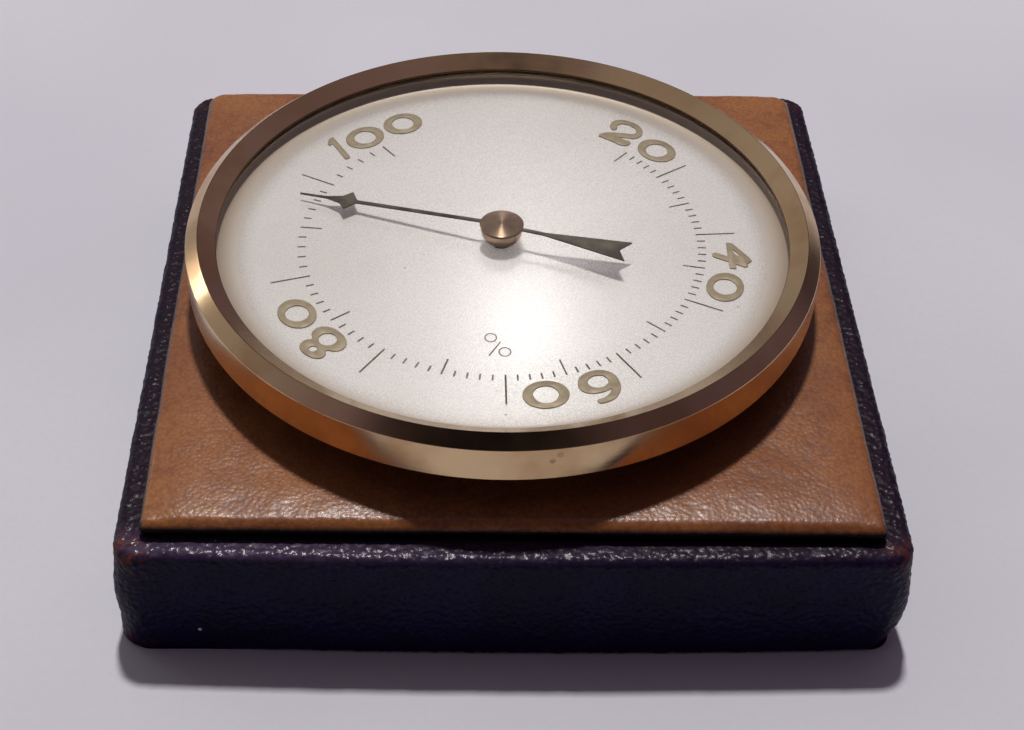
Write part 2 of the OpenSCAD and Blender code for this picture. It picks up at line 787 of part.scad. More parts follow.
// Its flange lies on the drum's floor
module calibration_bush() {
    color("#d9b65a") translate([shaft_pos[0], shaft_pos[1], drum_bottom]) difference() {
        union() {
            cylinder(r = shaft_bush_r, h = shaft_bush_len);
            translate([0, 0, drum_wall]) cylinder(r = bush_flange_r + 0.4, h = bush_flange_t);
        }
        translate([0, 0, -past]) cylinder(r = shaft_r + bush_play, h = shaft_bush_len + 2 * past);
    }
}

module hairspring_collet() {
    color("#d9b65a") translate([0, 0, spring_z - 0.2]) difference() {
        cylinder(r = spring_collet_r, h = spring_collet_h);
        translate([0, 0, -past]) cylinder(r = arbor_r, h = spring_collet_h + 2 * past);
    }
}

// Flat spiral from the collet out to the stud, which stands at bearing -90
module hairspring() {
    count = spring_turns * spring_steps;
    inner = spring_collet_r;
    growth = spring_r - spring_band - inner;
    function at(i, side) = (inner + growth * i / count + side * spring_band)
        * [cos(-90 - (count - i) * 360 / spring_steps), sin(-90 - (count - i) * 360 / spring_steps)];
    color("#3d4a66") translate([0, 0, spring_z]) linear_extrude(spring_h) polygon(concat(
        [for (i = [0:count]) at(i, 0)],
        [for (i = [count:-1:0]) at(i, 1)]
    ));
}

module hairspring_stud() {
    color("#9a9ea3") translate([0, -spring_r - stud_r, spring_z - 0.2])
        cylinder(r = stud_r, h = bridge_top - spring_z + 0.2);
}

// Stem and flaring cone that carry the pointer's sheet
module pointer_collet() {
    stem_z = dial_top + collet_gap;
    cone_z = hand_z - collet_cone_h;
    color("#a8873a") rotate_extrude() polygon([
        [tall_pivot_r, stem_z],
        [stem_r, stem_z],
        [stem_r, cone_z],
        [cap_r - 0.35, hand_z - 0.25],
        [cap_r - 0.1, hand_z],
        [tall_pivot_r, hand_z]
    ]);
}

// The sheet pointer lies along +X here: it is level as far as the cap's edge, then slopes to the dial
module pointer_hand() {
    bend = cap_r;
    color("#3b3226") rotate([0, 0, pointer_angle]) difference() {
        translate([0, 0, hand_z]) {
            cylinder(r = cap_r - 0.12, h = hand_t);
            linear_extrude(hand_t) polygon([
                [bend, rod_w / 2],
                [-vane_start, rod_w / 2],
                [-tail_reach, tail_w / 2],
                [-tail_reach + tail_notch, 0],
                [-tail_reach, -tail_w / 2],
                [-vane_start, -rod_w / 2],
                [bend, -rod_w / 2]
            ]);
            translate([bend, 0, hand_t]) rotate([0, needle_droop, 0]) translate([-bend, 0, -hand_t])
                linear_extrude(hand_t) polygon([
                    [bend, rod_w / 2],
                    [arrow_back, rod_w / 2],
                    [arrow_barb, arrow_w / 2],
                    [(arrow_barb + arrow_tip) / 2 - 0.6, arrow_w / 5],
                    [arrow_tip, needle_w / 2],
                    [needle_reach, needle_w / 4],
                    [needle_reach, -needle_w / 4],
                    [arrow_tip, -needle_w / 2],
                    [(arrow_barb + arrow_tip) / 2 - 0.6, -arrow_w / 5],
                    [arrow_barb, -arrow_w / 2],
                    [arrow_back, -rod_w / 2],
                    [bend, -rod_w / 2]
                ]);
        }
        translate([0, 0, hand_z - past]) cylinder(r = tall_pivot_r, h = hand_t + 2 * past);
    }
}

// Thin disc that rises a little to its middle
module pointer_cap() {
    rim = cap_h / 2;
    color("#b8923f") translate([0, 0, hand_z + hand_t]) rotate_extrude() polygon([
        [0, 0],
        [cap_r - 0.1, 0],
        [cap_r, rim / 2],
        [cap_r - 0.1, rim],
        [0.4, cap_h],
        [0, cap_h]
    ]);
}

base_block();
base_wrap();
base_felt();
pad_board();
pad_leather();
case_drum();
case_screws();
spacer_ring();
bezel();
bezel_snap_ring();
glass();
dial();
movement_plate();
plate_spacers();
plate_screws();
bridge_pillars();
movement_bridge();
bridge_screws();
pointer_arbor();
pointer_pinion();
pointer_bushes();
hairspring_collet();
hairspring();
hairspring_stud();
pointer_collet();
pointer_hand();
pointer_cap();
sector_arbor();
toothed_sector();
sector_bushes();
hook_pin();
hair_bundle();
hair_eyelet();
anchor_clip();
anchor_arm();
calibration_shaft();
calibration_bush();
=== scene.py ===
"""The looks of the desk hygrometer: a brass-rimmed dial let into a leather-topped block.

Pieces are drawn in millimetres, in the frame of the CAD model, and go to metres at the end.
"""

import math
import random

import bmesh
import bpy
from mathutils import Matrix, Vector, noise


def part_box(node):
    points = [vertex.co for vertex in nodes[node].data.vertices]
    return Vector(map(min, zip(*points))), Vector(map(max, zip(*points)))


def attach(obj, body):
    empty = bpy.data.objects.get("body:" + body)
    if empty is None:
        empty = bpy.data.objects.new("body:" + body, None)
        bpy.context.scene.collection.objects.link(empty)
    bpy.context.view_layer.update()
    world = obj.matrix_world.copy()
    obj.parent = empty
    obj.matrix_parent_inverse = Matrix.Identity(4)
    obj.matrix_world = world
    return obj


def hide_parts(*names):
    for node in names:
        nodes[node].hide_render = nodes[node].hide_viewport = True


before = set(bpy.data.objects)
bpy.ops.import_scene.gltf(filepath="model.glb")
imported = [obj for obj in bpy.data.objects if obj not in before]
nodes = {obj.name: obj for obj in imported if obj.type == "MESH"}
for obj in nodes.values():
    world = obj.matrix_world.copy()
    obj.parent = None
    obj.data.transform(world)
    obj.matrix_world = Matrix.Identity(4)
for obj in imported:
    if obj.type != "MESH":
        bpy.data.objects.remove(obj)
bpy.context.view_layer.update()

MM = 0.001
TURN = 2 * math.pi
WELD = 0.0005  # mm, points nearer than this are one point


# Sizes in millimetres, those of whole pieces from the frame


def middle_and_half(node, axis):
    """Where the box of a CAD node has its middle along an axis, and half its length."""
    low, high = (corner[axis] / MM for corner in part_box(node))
    return round((low + high) / 2, 3), round((high - low) / 2, 3)


def foot_of(node):
    return round(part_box(node)[0][2] / MM, 3)


def top_of(node):
    return round(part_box(node)[1][2] / MM, 3)


def radius_of(node):
    """Radius of a round CAD node that stands on the dial's axis."""
    return round(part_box(node)[1][0] / MM, 3)


# Block, its leathercloth cover and the felt in the cover's window
block_x, block_half_w = middle_and_half("base_wrap", 0)
block_y, block_half_d = middle_and_half("base_wrap", 1)
block_h = top_of("base_wrap")
block_corner_r = 3.5
block_top_r = 1.3
block_foot_r = 0.6
cover_t = foot_of("base_block")
window_half_w = middle_and_half("base_felt", 0)[1]
window_half_d = middle_and_half("base_felt", 1)[1]
window_corner_r = 2.0
felt_gap = 0.05
felt_t = 0.88

# Leather pad
pad_x, pad_half_w = middle_and_half("pad_leather", 0)
pad_y, pad_half_d = middle_and_half("pad_leather", 1)
pad_top = top_of("pad_leather")
pad_h = pad_top - block_h
leather_t = pad_top - top_of("pad_board")
pad_slant = -0.0087  # the leather's front and back edges lie farther back on the left
pad_spread = 0.006  # its sides part towards the back
pad_corner_r = 3.0
pad_front_r = 1.2
pad_edge_r = 1.5
pad_fall_w = 7.0  # how far in from its edge the leather starts to fall
pad_fall_h = 0.6
pad_tuck = 0.75  # how far the sides draw in at the foot
recess_r = 39.25  # the hole through pad and block that the dial's case stands in

# Bezel, glass and dial
bezel_r = radius_of("bezel")
bezel_bottom = foot_of("bezel")
shoulder_z = bezel_bottom + 5.1
ridge_z = top_of("bezel")
ridge_r = 42.45
lip_z = ridge_z - 1.7
lip_t = 0.3
bore_r = 43.0
groove_r = 43.45
groove_top = bezel_bottom + 1.0
groove_bottom = bezel_bottom + 0.45
glass_r = 40.0
inner_r = radius_of("dial")
glass_t = 1.1
glass_edge_z = foot_of("glass")
glass_rise = top_of("glass") - glass_edge_z - glass_t
dial_top = top_of("dial")
shade_from_r = 34.5  # painted shade: the silvering darkens to brown from here out, as if shaded by the bezel
shade_to_r = 40.3

# Pointer
stem_z = foot_of("pointer_collet")
hand_z = top_of("pointer_collet")
hand_top = top_of("pointer_hand")
cap_r = radius_of("pointer_cap")
cap_top = top_of("pointer_cap")
collet_r = cap_r - 0.15
stem_r = 1.3
pivot_r = 0.8

# Hair and the key's hole under the calibration shaft
hair_x, hair_half_len = middle_and_half("hair_bundle", 0)
hair_y = middle_and_half("hair_bundle", 1)[0]
hair_z = middle_and_half("hair_bundle", 2)[0]
shaft_x = middle_and_half("calibration_bush", 0)[0]
shaft_y = middle_and_half("calibration_bush", 1)[0]
key_hole_r = 3.0


# Finishes


def paint(red, green, blue):
    """A colour as a paint card gives it, 0 to 255, made linear for the shader."""
    linear = []
    for level in (red, green, blue):
        share = level / 255
        linear.append(share / 12.92 if share <= 0.04045 else ((share + 0.055) / 1.055) ** 2.4)
    return (*linear, 1.0)


class NodeTree:
    """A tree of shader nodes that starts with the texture coordinates."""

    def __init__(self, owner):
        owner.use_nodes = True
        self.tree = owner.node_tree
        self.tree.nodes.clear()
        self.coordinates = self.add("TexCoord").outputs

    def add(self, kind, **settings):
        made = self.tree.nodes.new("ShaderNode" + kind)
        for name, value in settings.items():
            setattr(made, name, value)
        return made

    def feed(self, socket, value):
        """Links a socket to another node's output, or gives it a plain value."""
        if isinstance(value, bpy.types.NodeSocket):
            self.tree.links.new(value, socket)
        else:
            socket.default_value = value

    def spread(self, value, low, high, to_low=0.0, to_high=1.0):
        """A smooth step from one level to another, as the value goes from low to high."""
        made = self.add("MapRange", interpolation_type="SMOOTHSTEP")
        self.feed(made.inputs["Value"], value)
        for name, limit in (("From Min", low), ("From Max", high), ("To Min", to_low), ("To Max", to_high)):
            made.inputs[name].default_value = limit
        return made.outputs["Result"]

    def work(self, operation, first, second=0.0):
        made = self.add("Math", operation=operation)
        self.feed(made.inputs[0], first)
        self.feed(made.inputs[1], second)
        return made.outputs[0]

    def tint(self, share, first, second):
        """The first colour, going to the second as share goes to 1."""
        made = self.add("Mix", data_type="RGBA")
        self.feed(made.inputs[0], share)
        self.feed(made.inputs[6], first)
        self.feed(made.inputs[7], second)
        return made.outputs[2]

    def blend(self, share, first, second):
        """The first shader, going to the second as share goes to 1."""
        made = self.add("MixShader")
        for socket, value in zip(made.inputs, (share, first, second)):
            self.feed(socket, value)
        return made.outputs[0]

    def close(self, shader, output="OutputMaterial"):
        self.feed(self.add(output).inputs["Surface"], shader)


class Finish(NodeTree):
    """A procedural material, built on the piece's own coordinates in metres."""

    def __init__(self, name):
        self.material = bpy.data.materials.new(name)
        super().__init__(self.material)
        self.place = self.coordinates["Object"]

    def stretched(self, across, along, up):
        mapping = self.add("Mapping")
        self.feed(mapping.inputs["Vector"], self.place)
        mapping.inputs["Scale"].default_value = (across, along, up)
        return mapping.outputs["Vector"]

    def clouds(self, size, detail=3.0, roughness=0.5, place=None):
        """Soft noise whose blotches are about size millimetres across, from 0 to 1."""
        made = self.add("TexNoise")
        self.feed(made.inputs["Vector"], place or self.place)
        made.inputs["Scale"].default_value = 1 / (size * MM)
        made.inputs["Detail"].default_value = detail
        made.inputs["Roughness"].default_value = roughness
        return made.outputs["Fac"]

    def pebbles(self, size, feature="F1"):
        """Distance from the nearest of many spots, which lie about size millimetres apart."""
        made = self.add("TexVoronoi", feature=feature)
        self.feed(made.inputs["Vector"], self.place)
        made.inputs["Scale"].default_value = 1 / (size * MM)
        return made.outputs["Distance"]

    def from_axis(self):
        """Distance from the dial's axis, in metres."""
        flat = self.add("VectorMath", operation="MULTIPLY")
        self.feed(flat.inputs[0], self.place)
        flat.inputs[1].default_value = (1, 1, 0)
        out = self.add("VectorMath", operation="LENGTH")
        self.feed(out.inputs[0], flat.outputs["Vector"])
        return out.outputs["Value"]

    def shaded_near_bezel(self, colour):
        """The dial's colour with painted shade, browner towards the bezel."""
        share = self.spread(self.from_axis(), shade_from_r * MM, shade_to_r * MM)
        return self.tint(share, colour, paint(176, 158, 138))

    def carried(self, name):
        """A value that the mesh carries at its points."""
        return self.add("Attribute", attribute_name=name).outputs["Fac"]

    def relief(self, height, depth, under=None):
        """Bump of so many millimetres where height goes from 0 to 1."""
        made = self.add("Bump")
        self.feed(made.inputs["Height"], height)
        made.inputs["Distance"].default_value = depth * MM
        if under is not None:
            self.feed(made.inputs["Normal"], under)
        return made.outputs["Normal"]

    def coat(self, **sockets):
        """Ends the material in a Principled shader with these sockets."""
        shader = self.add("BsdfPrincipled")
        for name, value in sockets.items():
            self.feed(shader.inputs[name.replace("_", " ")], value)
        self.close(shader.outputs["BSDF"])
        return self.material


def bright_brass(name, clean, stained, roughness):
    """Lacquered brass with faint lathe lines, dull clouds and small dark tarnish specks, and browner where
    its lip meets the glass. Along its ridge it is darkened, a painted shade that dulls the lamp's highlight
    there."""
    f = Finish(name)
    clouds = f.clouds(9.0, 4)
    dull = f.spread(clouds, 0.42, 0.72)
    specks = f.work("MULTIPLY", f.spread(f.pebbles(5.0), 0.12, 0.05),
                    f.spread(f.clouds(14.0, 2), 0.46, 0.62))
    colour = f.tint(dull, clean, stained)
    colour = f.tint(specks, colour, paint(60, 38, 30))
    lip = f.spread(f.from_axis(), (glass_r + 0.1) * MM, (glass_r + 0.03) * MM)
    colour = f.tint(lip, colour, paint(90, 66, 48))
    # Painted shade: a darker band along the ridge, dulling the lamp's highlight on its edge
    ridge = f.work("ABSOLUTE", f.work("SUBTRACT", f.from_axis(), ridge_r * MM))
    colour = f.tint(f.spread(ridge, 0.07 * MM, 0.02 * MM), colour, paint(104, 88, 48))
    lines = f.clouds(0.35, 2, place=f.stretched(0.04, 0.04, 1))
    rough = f.work("ADD", f.spread(clouds, 0.3, 0.75, roughness, roughness + 0.13),
                   f.work("MULTIPLY", specks, 0.3))
    return f.coat(Base_Color=colour, Metallic=f.spread(specks, 0, 1, 1, 0.3), Roughness=rough,
                  Normal=f.relief(lines, 0.004))


def turned_hub():
    """Lacquered hub metal, finely turned, which draws a highlight out into a streak from its middle."""
    f = Finish("hub_brass")
    along = f.add("CombineXYZ")
    f.feed(along.inputs["X"], f.from_axis())
    rings = f.clouds(0.09, 1, place=along.outputs["Vector"])
    clouds = f.clouds(1.6, 3)
    colour = f.tint(f.spread(clouds, 0.35, 0.75), paint(206, 178, 150), paint(176, 146, 122))
    around = f.add("Tangent", direction_type="RADIAL", axis="Z")
    return f.coat(Base_Color=colour, Metallic=1.0, Roughness=f.spread(clouds, 0.3, 0.7, 0.17, 0.23),
                  Anisotropic=0.8, Anisotropic_Rotation=0.25, Tangent=around.outputs["Tangent"],
                  Normal=f.relief(rings, 0.006))


def silvered_cove():
    """Matt silvering of the hollow ring round the dial, with painted shade browning it where it meets the
    bezel.
    """
    f = Finish("silvered_cove")
    grain = f.clouds(0.3, 3)
    colour = f.tint(f.spread(grain, 0.3, 0.7), paint(241, 237, 231), paint(228, 222, 214))
    return f.coat(Base_Color=f.shaded_near_bezel(colour), Metallic=0.25, Roughness=0.36,
                  Normal=f.relief(grain, 0.002))


def tan_leather():
    """Smooth-grained calf with a satin dressing, painted shade in its creases, its edges dyed almost black
    and painted with shade.
    """
    f = Finish("tan_leather")
    blotches = f.clouds(13.0, 4, 0.6)
    grain = f.pebbles(0.5, "SMOOTH_F1")
    pores = f.clouds(0.2, 3)
    hollow = f.carried("hollow")
    colour = f.tint(f.spread(blotches, 0.3, 0.7), paint(134, 81, 47), paint(156, 101, 57))
    colour = f.tint(f.spread(f.clouds(3.2, 4), 0.5, 0.75, 0, 0.5), colour, paint(118, 64, 42))
    colour = f.tint(f.spread(grain, 0.25, 0.75, 0, 0.35), colour, paint(92, 46, 30))
    # Painted shade: darker in the creases
    colour = f.tint(f.work("MULTIPLY", hollow, 0.4), colour, paint(78, 34, 22))
    # Dye and painted shade: the sides and the lower part of the top edge go almost black
    dye_and_shade = f.spread(f.carried("dye_and_shade"), 0.1, 0.9)
    colour = f.tint(dye_and_shade, colour, paint(16, 9, 14))
    rough = f.work("ADD", f.spread(pores, 0.3, 0.7, 0.23, 0.42), f.work("MULTIPLY", hollow, 0.12))
    bump = f.relief(f.work("ADD", grain, f.work("MULTIPLY", pores, 0.35)), -0.05)
    # Metal of the near-black dye and painted shade mirrors next to nothing, as its dull, dusty sides do
    return f.coat(Base_Color=colour, Roughness=rough, Normal=bump, Specular_IOR_Level=0.4,
                  Metallic=f.work("MULTIPLY", dye_and_shade, 0.9))


def black_leathercloth():
    """Blue-black leathercloth, painted lighter and browner where it faces up, with dust and a painted sheen
    along its front, rubbed at its corners, with lint.
    """
    f = Finish("black_leathercloth")
    pores = f.clouds(0.25, 3)
    worn = f.work("MULTIPLY", f.carried("rub"), f.spread(f.clouds(1.3, 4, 0.7), 0.46, 0.58))
    lint = f.work("MULTIPLY", f.spread(f.pebbles(6.5), 0.05, 0.03),
                  f.spread(f.clouds(15.0, 1), 0.47, 0.55))
    # Dust with a painted sheen: pale grey on the front's upward faces
    dust_and_sheen = f.work("MULTIPLY", f.work("MULTIPLY", f.carried("dust_and_sheen"), f.carried("level")),
                  f.spread(f.clouds(0.7, 3), 0.25, 0.75, 0.7, 1.0))
    colour = f.tint(f.spread(f.clouds(6.0, 3), 0.35, 0.7), paint(5, 3, 36), paint(10, 6, 46))
    # Painted light: lighter and browner where the cloth faces up
    colour = f.tint(f.carried("level"), colour, paint(30, 15, 30))
    colour = f.tint(dust_and_sheen, colour, paint(76, 62, 90))
    colour = f.tint(worn, colour, paint(98, 46, 34))
    colour = f.tint(lint, colour, paint(206, 178, 176))
    bump = f.relief(pores, 0.03, under=f.relief(f.pebbles(0.75, "SMOOTH_F1"), -0.22))
    rough = f.work("ADD", f.spread(pores, 0.3, 0.7, 0.34, 0.5), f.work("MULTIPLY", worn, 0.3))
    return f.coat(Base_Color=colour, Roughness=rough, Normal=bump, Specular_IOR_Level=0.1, Coat_Normal=bump,
                  Coat_Weight=f.work("MULTIPLY", f.carried("polish"), 0.6), Coat_Roughness=0.2)


def silvered_dial():
    """Satin silvering under lacquer: pale, partly mirror, with fine grain and yellowed foxing."""
    f = Finish("silvered_dial")
    grain = f.clouds(0.16, 2)
    foxing = f.work("MULTIPLY", f.spread(f.pebbles(2.4), 0.12, 0.05),
                    f.spread(f.clouds(18.0, 2), 0.56, 0.68))
    colour = f.tint(f.spread(f.clouds(24.0, 3), 0.3, 0.75), paint(247, 244, 241), paint(239, 235, 230))
    colour = f.tint(f.spread(grain, 0.35, 0.75, 0, 0.25), colour, paint(214, 207, 199))
    colour = f.tint(foxing, colour, paint(158, 130, 92))
    # Painted shade browns the silvering towards the bezel
    return f.coat(Base_Color=f.shaded_near_bezel(colour), Metallic=0.25, Coat_Weight=0.7, Coat_Roughness=0.15,
                  Roughness=f.spread(grain, 0.3, 0.7, 0.24, 0.3), Normal=f.relief(grain, 0.002))


def gilt():
    """Dull gilt paint on the raised figures."""
    f = Finish("gilt")
    clouds = f.clouds(1.2, 3)
    colour = f.tint(f.spread(clouds, 0.3, 0.7), paint(166, 151, 122), paint(148, 133, 106))
    return f.coat(Base_Color=colour, Metallic=0.2, Roughness=f.spread(clouds, 0.3, 0.7, 0.42, 0.54),
                  Normal=f.relief(f.clouds(0.2, 2), 0.003))


def dial_ink():
    """Flat olive-black ink of the marks and the per cent sign."""
    f = Finish("dial_ink")
    colour = f.tint(f.spread(f.clouds(0.8, 2), 0.35, 0.7), paint(56, 50, 8), paint(72, 66, 18))
    return f.coat(Base_Color=colour, Roughness=0.7, Specular_IOR_Level=0.25)


def bronzed(name, dark, light, roughness):
    """Bronzed or blackened metal with a faintly cloudy oxide."""
    f = Finish(name)
    clouds = f.clouds(2.5, 4)
    return f.coat(Base_Color=f.tint(f.spread(clouds, 0.35, 0.7), dark, light), Metallic=0.85,
                  Roughness=f.spread(clouds, 0.3, 0.7, roughness, roughness + 0.14),
                  Normal=f.relief(f.clouds(0.12, 2), 0.002))


def metal(name, clean, stained, roughness):
    """Plain machined metal with fine scratches and dull clouds."""
    f = Finish(name)
    clouds = f.clouds(5.0, 4)
    scratches = f.clouds(0.25, 2, place=f.stretched(0.06, 1, 1))
    return f.coat(Base_Color=f.tint(f.spread(clouds, 0.35, 0.75), clean, stained), Metallic=1.0,
                  Roughness=f.spread(clouds, 0.3, 0.7, roughness, roughness + 0.16),
                  Normal=f.relief(scratches, 0.004))


def clear_glass():
    """Thin polished glass: see-through, with the gloss that its slope to the eye gives."""
    f = Finish("clear_glass")
    facing = f.add("LayerWeight").outputs["Facing"]
    gloss = f.work("ADD", f.work("MULTIPLY", f.work("POWER", facing, 5.0), 0.96), 0.04)
    through = f.add("BsdfTransparent")
    through.inputs["Color"].default_value = (0.985, 0.985, 0.98, 1)
    shine = f.add("BsdfAnisotropic")
    shine.inputs["Roughness"].default_value = 0.03
    f.close(f.blend(gloss, through.outputs[0], shine.outputs[0]))
    return f.material


def green_felt():
    """Thick felt with a hairy, uneven nap."""
    f = Finish("green_felt")
    fibres = f.clouds(0.35, 5, 0.7)
    colour = f.tint(f.spread(fibres, 0.3, 0.7), paint(46, 62, 48), paint(70, 88, 70))
    return f.coat(Base_Color=colour, Roughness=0.95, Sheen_Weight=0.4, Sheen_Roughness=0.5,
                  Normal=f.relief(fibres, 0.12))


def bare_wood():
    """Unfinished wood whose grain runs from left to right."""
    f = Finish("bare_wood")
    rings = f.clouds(2.2, 4, 0.55, place=f.stretched(0.07, 1, 1))
    colour = f.tint(f.spread(rings, 0.3, 0.7), paint(190, 152, 108), paint(150, 110, 72))
    return f.coat(Base_Color=colour, Roughness=0.62, Normal=f.relief(rings, 0.06))


def grey_board():
    """Pulp board, fibrous and dull."""
    f = Finish("grey_board")
    fibres = f.clouds(0.7, 5, 0.7)
    colour = f.tint(f.spread(fibres, 0.3, 0.7), paint(150, 138, 120), paint(122, 110, 94))
    return f.coat(Base_Color=colour, Roughness=0.85, Normal=f.relief(fibres, 0.05))


def dark_hair():
    """Brown human hair, lighter in places along its strands."""
    f = Finish("dark_hair")
    bands = f.clouds(0.8, 3, place=f.stretched(0.1, 1, 1))
    colour = f.tint(f.spread(bands, 0.3, 0.7), paint(84, 56, 34), paint(126, 88, 54))
    return f.coat(Base_Color=colour, Roughness=0.4)


def pale_paper():
    """The plain sheet that the part stands on."""
    f = Finish("pale_paper")
    folds = f.clouds(90.0, 3, 0.45)
    fibres = f.clouds(1.1, 4, 0.6)
    colour = f.tint(f.spread(folds, 0.3, 0.7), paint(213, 212, 219), paint(205, 204, 213))
    colour = f.tint(f.spread(fibres, 0.4, 0.8, 0, 0.25), colour, paint(200, 196, 206))
    height = f.work("ADD", folds, f.work("MULTIPLY", fibres, 0.02))
    return f.coat(Base_Color=colour, Roughness=0.8, Normal=f.relief(height, 1.5))


finish = {
    "bezel": bright_brass("bezel_brass", paint(220, 190, 148), paint(196, 160, 118), 0.12),
    "hub": turned_hub(),
    "movement": metal("movement_brass", paint(214, 182, 112), paint(190, 152, 88), 0.26),
    "steel": metal("steel", paint(176, 178, 182), paint(150, 152, 156), 0.28),
    "case": metal("case_metal", paint(150, 122, 86), paint(110, 86, 64), 0.38),
    "cove": silvered_cove(),
    "hand": bronzed("hand_bronze", paint(68, 64, 57), paint(104, 96, 82), 0.28),
    "blued": bronzed("blackened_steel", paint(34, 34, 40), paint(52, 54, 62), 0.3),
    "leather": tan_leather(),
    "cover": black_leathercloth(),
    "dial": silvered_dial(),
    "gilt": gilt(),
    "ink": dial_ink(),
    "glass": clear_glass(),
    "felt": green_felt(),
    "wood": bare_wood(),
    "board": grey_board(),
    "hair": dark_hair(),
    "paper": pale_paper(),
}

kept_nodes = {
    "base_block": "wood",
    "pad_board": "board",
    "case_drum": "case",
    "case_screws": "steel",
    "bezel_snap_ring": "steel",
    "dial": "dial",
    "movement_plate": "movement",
    "plate_spacers": "movement",
    "plate_screws": "steel",
    "bridge_pillars": "movement",
    "movement_bridge": "movement",
    "bridge_screws": "blued",
    "pointer_arbor": "steel",
    "pointer_pinion": "steel",
    "pointer_bushes": "movement",
    "hairspring_collet": "movement",
    "hairspring": "blued",
    "hairspring_stud": "steel",
    "pointer_hand": "hand",
    "sector_arbor": "steel",
    "toothed_sector": "movement",
    "sector_bushes": "movement",
    "hook_pin": "steel",
    "hair_eyelet": "movement",
    "anchor_clip": "movement",
    "anchor_arm": "movement",
    "calibration_shaft": "steel",
    "calibration_bush": "movement",
}
for node_name, finish_name in kept_nodes.items():
    for place in nodes[node_name].material_slots:
        place.material = finish[finish_name]


# Shaping


def ramp(value, start, end):
    """0 up to the start, 1 from the end on and straight between them, whichever is the lower."""
    return max(0.0, min(1.0, (value - start) / (end - start)))


def outward(bm):
    """Welds a shape's seams and turns its faces outwards."""
    bmesh.ops.remove_doubles(bm, verts=bm.verts, dist=WELD)
    bmesh.ops.recalc_face_normals(bm, faces=bm.faces)
    return bm


def turned(profile, steps, closed=True):
    """Turns a profile of (radius, height) about the dial's axis. An open one starts and ends on it."""
    bm = bmesh.new()
    row = [bm.verts.new((r, 0, z)) for r, z in profile]
    pairs = zip(row, row[1:] + row[:1]) if closed else zip(row, row[1:])
    edges = [bm.edges.new(pair) for pair in pairs]
    bmesh.ops.spin(bm, geom=row + edges, axis=(0, 0, 1), cent=(0, 0, 0), angle=TURN, steps=steps,
                   use_merge=True)
    return outward(bm)


def soften(bm, width, sharper_than=20, segments=3, beyond=0.0):
    """Breaks each edge that is sharper than so many degrees and farther out than a radius."""
    limit = math.radians(sharper_than)
    edges = [e for e in bm.edges if len(e.link_faces) == 2 and e.calc_face_angle() > limit
             and e.verts[0].co.xy.length > beyond]
    bmesh.ops.bevel(bm, geom=edges, offset=width, offset_type="OFFSET", affect="EDGES", segments=segments,
                    profile=0.5, material=-1)
    return bm


def rounded_square(half_w, half_d, corner_r, side_steps, corner_steps, centre=(0, 0)):
    """Points round a square with round corners, anticlockwise from the front end of its right side.
    One radius serves all corners, or four of them, from the back right one on."""
    middle = Vector(centre)
    radii = corner_r if isinstance(corner_r, list) else [corner_r] * 4
    points = []
    for quarter, r in enumerate(radii):
        turn = Matrix.Rotation(quarter * TURN / 4, 2)
        reach, width = (half_w, half_d) if quarter % 2 == 0 else (half_d, half_w)
        start, end = radii[quarter - 1] - width, width - r
        for i in range(side_steps):
            points.append(middle + turn @ Vector((reach, start + (end - start) * i / side_steps)))
        for i in range(corner_steps):
            angle = TURN / 4 * i / corner_steps
            spot = Vector((reach - r + r * math.cos(angle), end + r * math.sin(angle)))
            points.append(middle + turn @ spot)
    return points


def depth_inside(across, deep, half_w, half_d, corner_r):
    """How far inside a square with round corners a point lies, given from the square's middle."""
    past_w, past_d = abs(across) - half_w + corner_r, abs(deep) - half_d + corner_r
    if past_w > 0 and past_d > 0:
        return corner_r - math.hypot(past_w, past_d)
    return corner_r - max(past_w, past_d)


def around_hole(points, radius, centre=(0, 0)):
    """The points of a round hole that lie in line with the points of the outline round it."""
    middle = Vector(centre)
    return [middle + (p - middle).normalized() * radius for p in points]


def between(inner, outer, share):
    return [a.lerp(b, share) for a, b in zip(inner, outer)]


def at_height(points, z):
    return [(p.x, p.y, z) for p in points]


def skin(rings):
    """A closed skin through rings of points: a grid laid round them, welded at its seams."""
    around, along = len(rings[0]), len(rings)
    bm = bmesh.new()
    bmesh.ops.create_grid(bm, x_segments=around, y_segments=along, size=1)
    for v in bm.verts:
        i = round((v.co.x + 1) / 2 * around) % around
        j = round((v.co.y + 1) / 2 * along) % along
        v.co = rings[j][i]
    return outward(bm)


def placed(name, data):
    """A new object in the scene, at the origin."""
    made = bpy.data.objects.new(name, data)
    bpy.context.scene.collection.objects.link(made)
    return made


def mesh_object(name, bm, material):
    mesh = bpy.data.meshes.new(name)
    bm.to_mesh(mesh)
    bm.free()
    mesh.materials.append(material)
    return placed(name, mesh)


def piece(name, bm, body, slot, material, *stands_for, sharp=35):
    """Hands a shape drawn in millimetres to the frame as a finished piece."""
    bmesh.ops.scale(bm, vec=(MM, MM, MM), verts=bm.verts)
    made = mesh_object(name, bm, finish[material])
    made.data.shade_smooth()
    made.data.set_sharp_from_angle(angle=math.radians(sharp))
    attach(made, body)
    if stands_for:
        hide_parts(*stands_for)
    return made


def carry(bm, name, values):
    """Stores one number for each point of a shape."""
    layer = bm.verts.layers.float.new(name)
    for v, value in zip(bm.verts, values):
        v[layer] = value


# Block

cover_side_steps, cover_corner_steps = 190, 14
cover_strip_w = 5.0  # the strip of the block's top that the pad leaves in view, and a little more


def pebble(p, size):
    """Leathercloth pebbles: 1 on top of a pebble, 0 in the furrows between them."""
    near = noise.voronoi(p / size)[0]
    return min(1.0, (near[1] - near[0]) * 2.2)


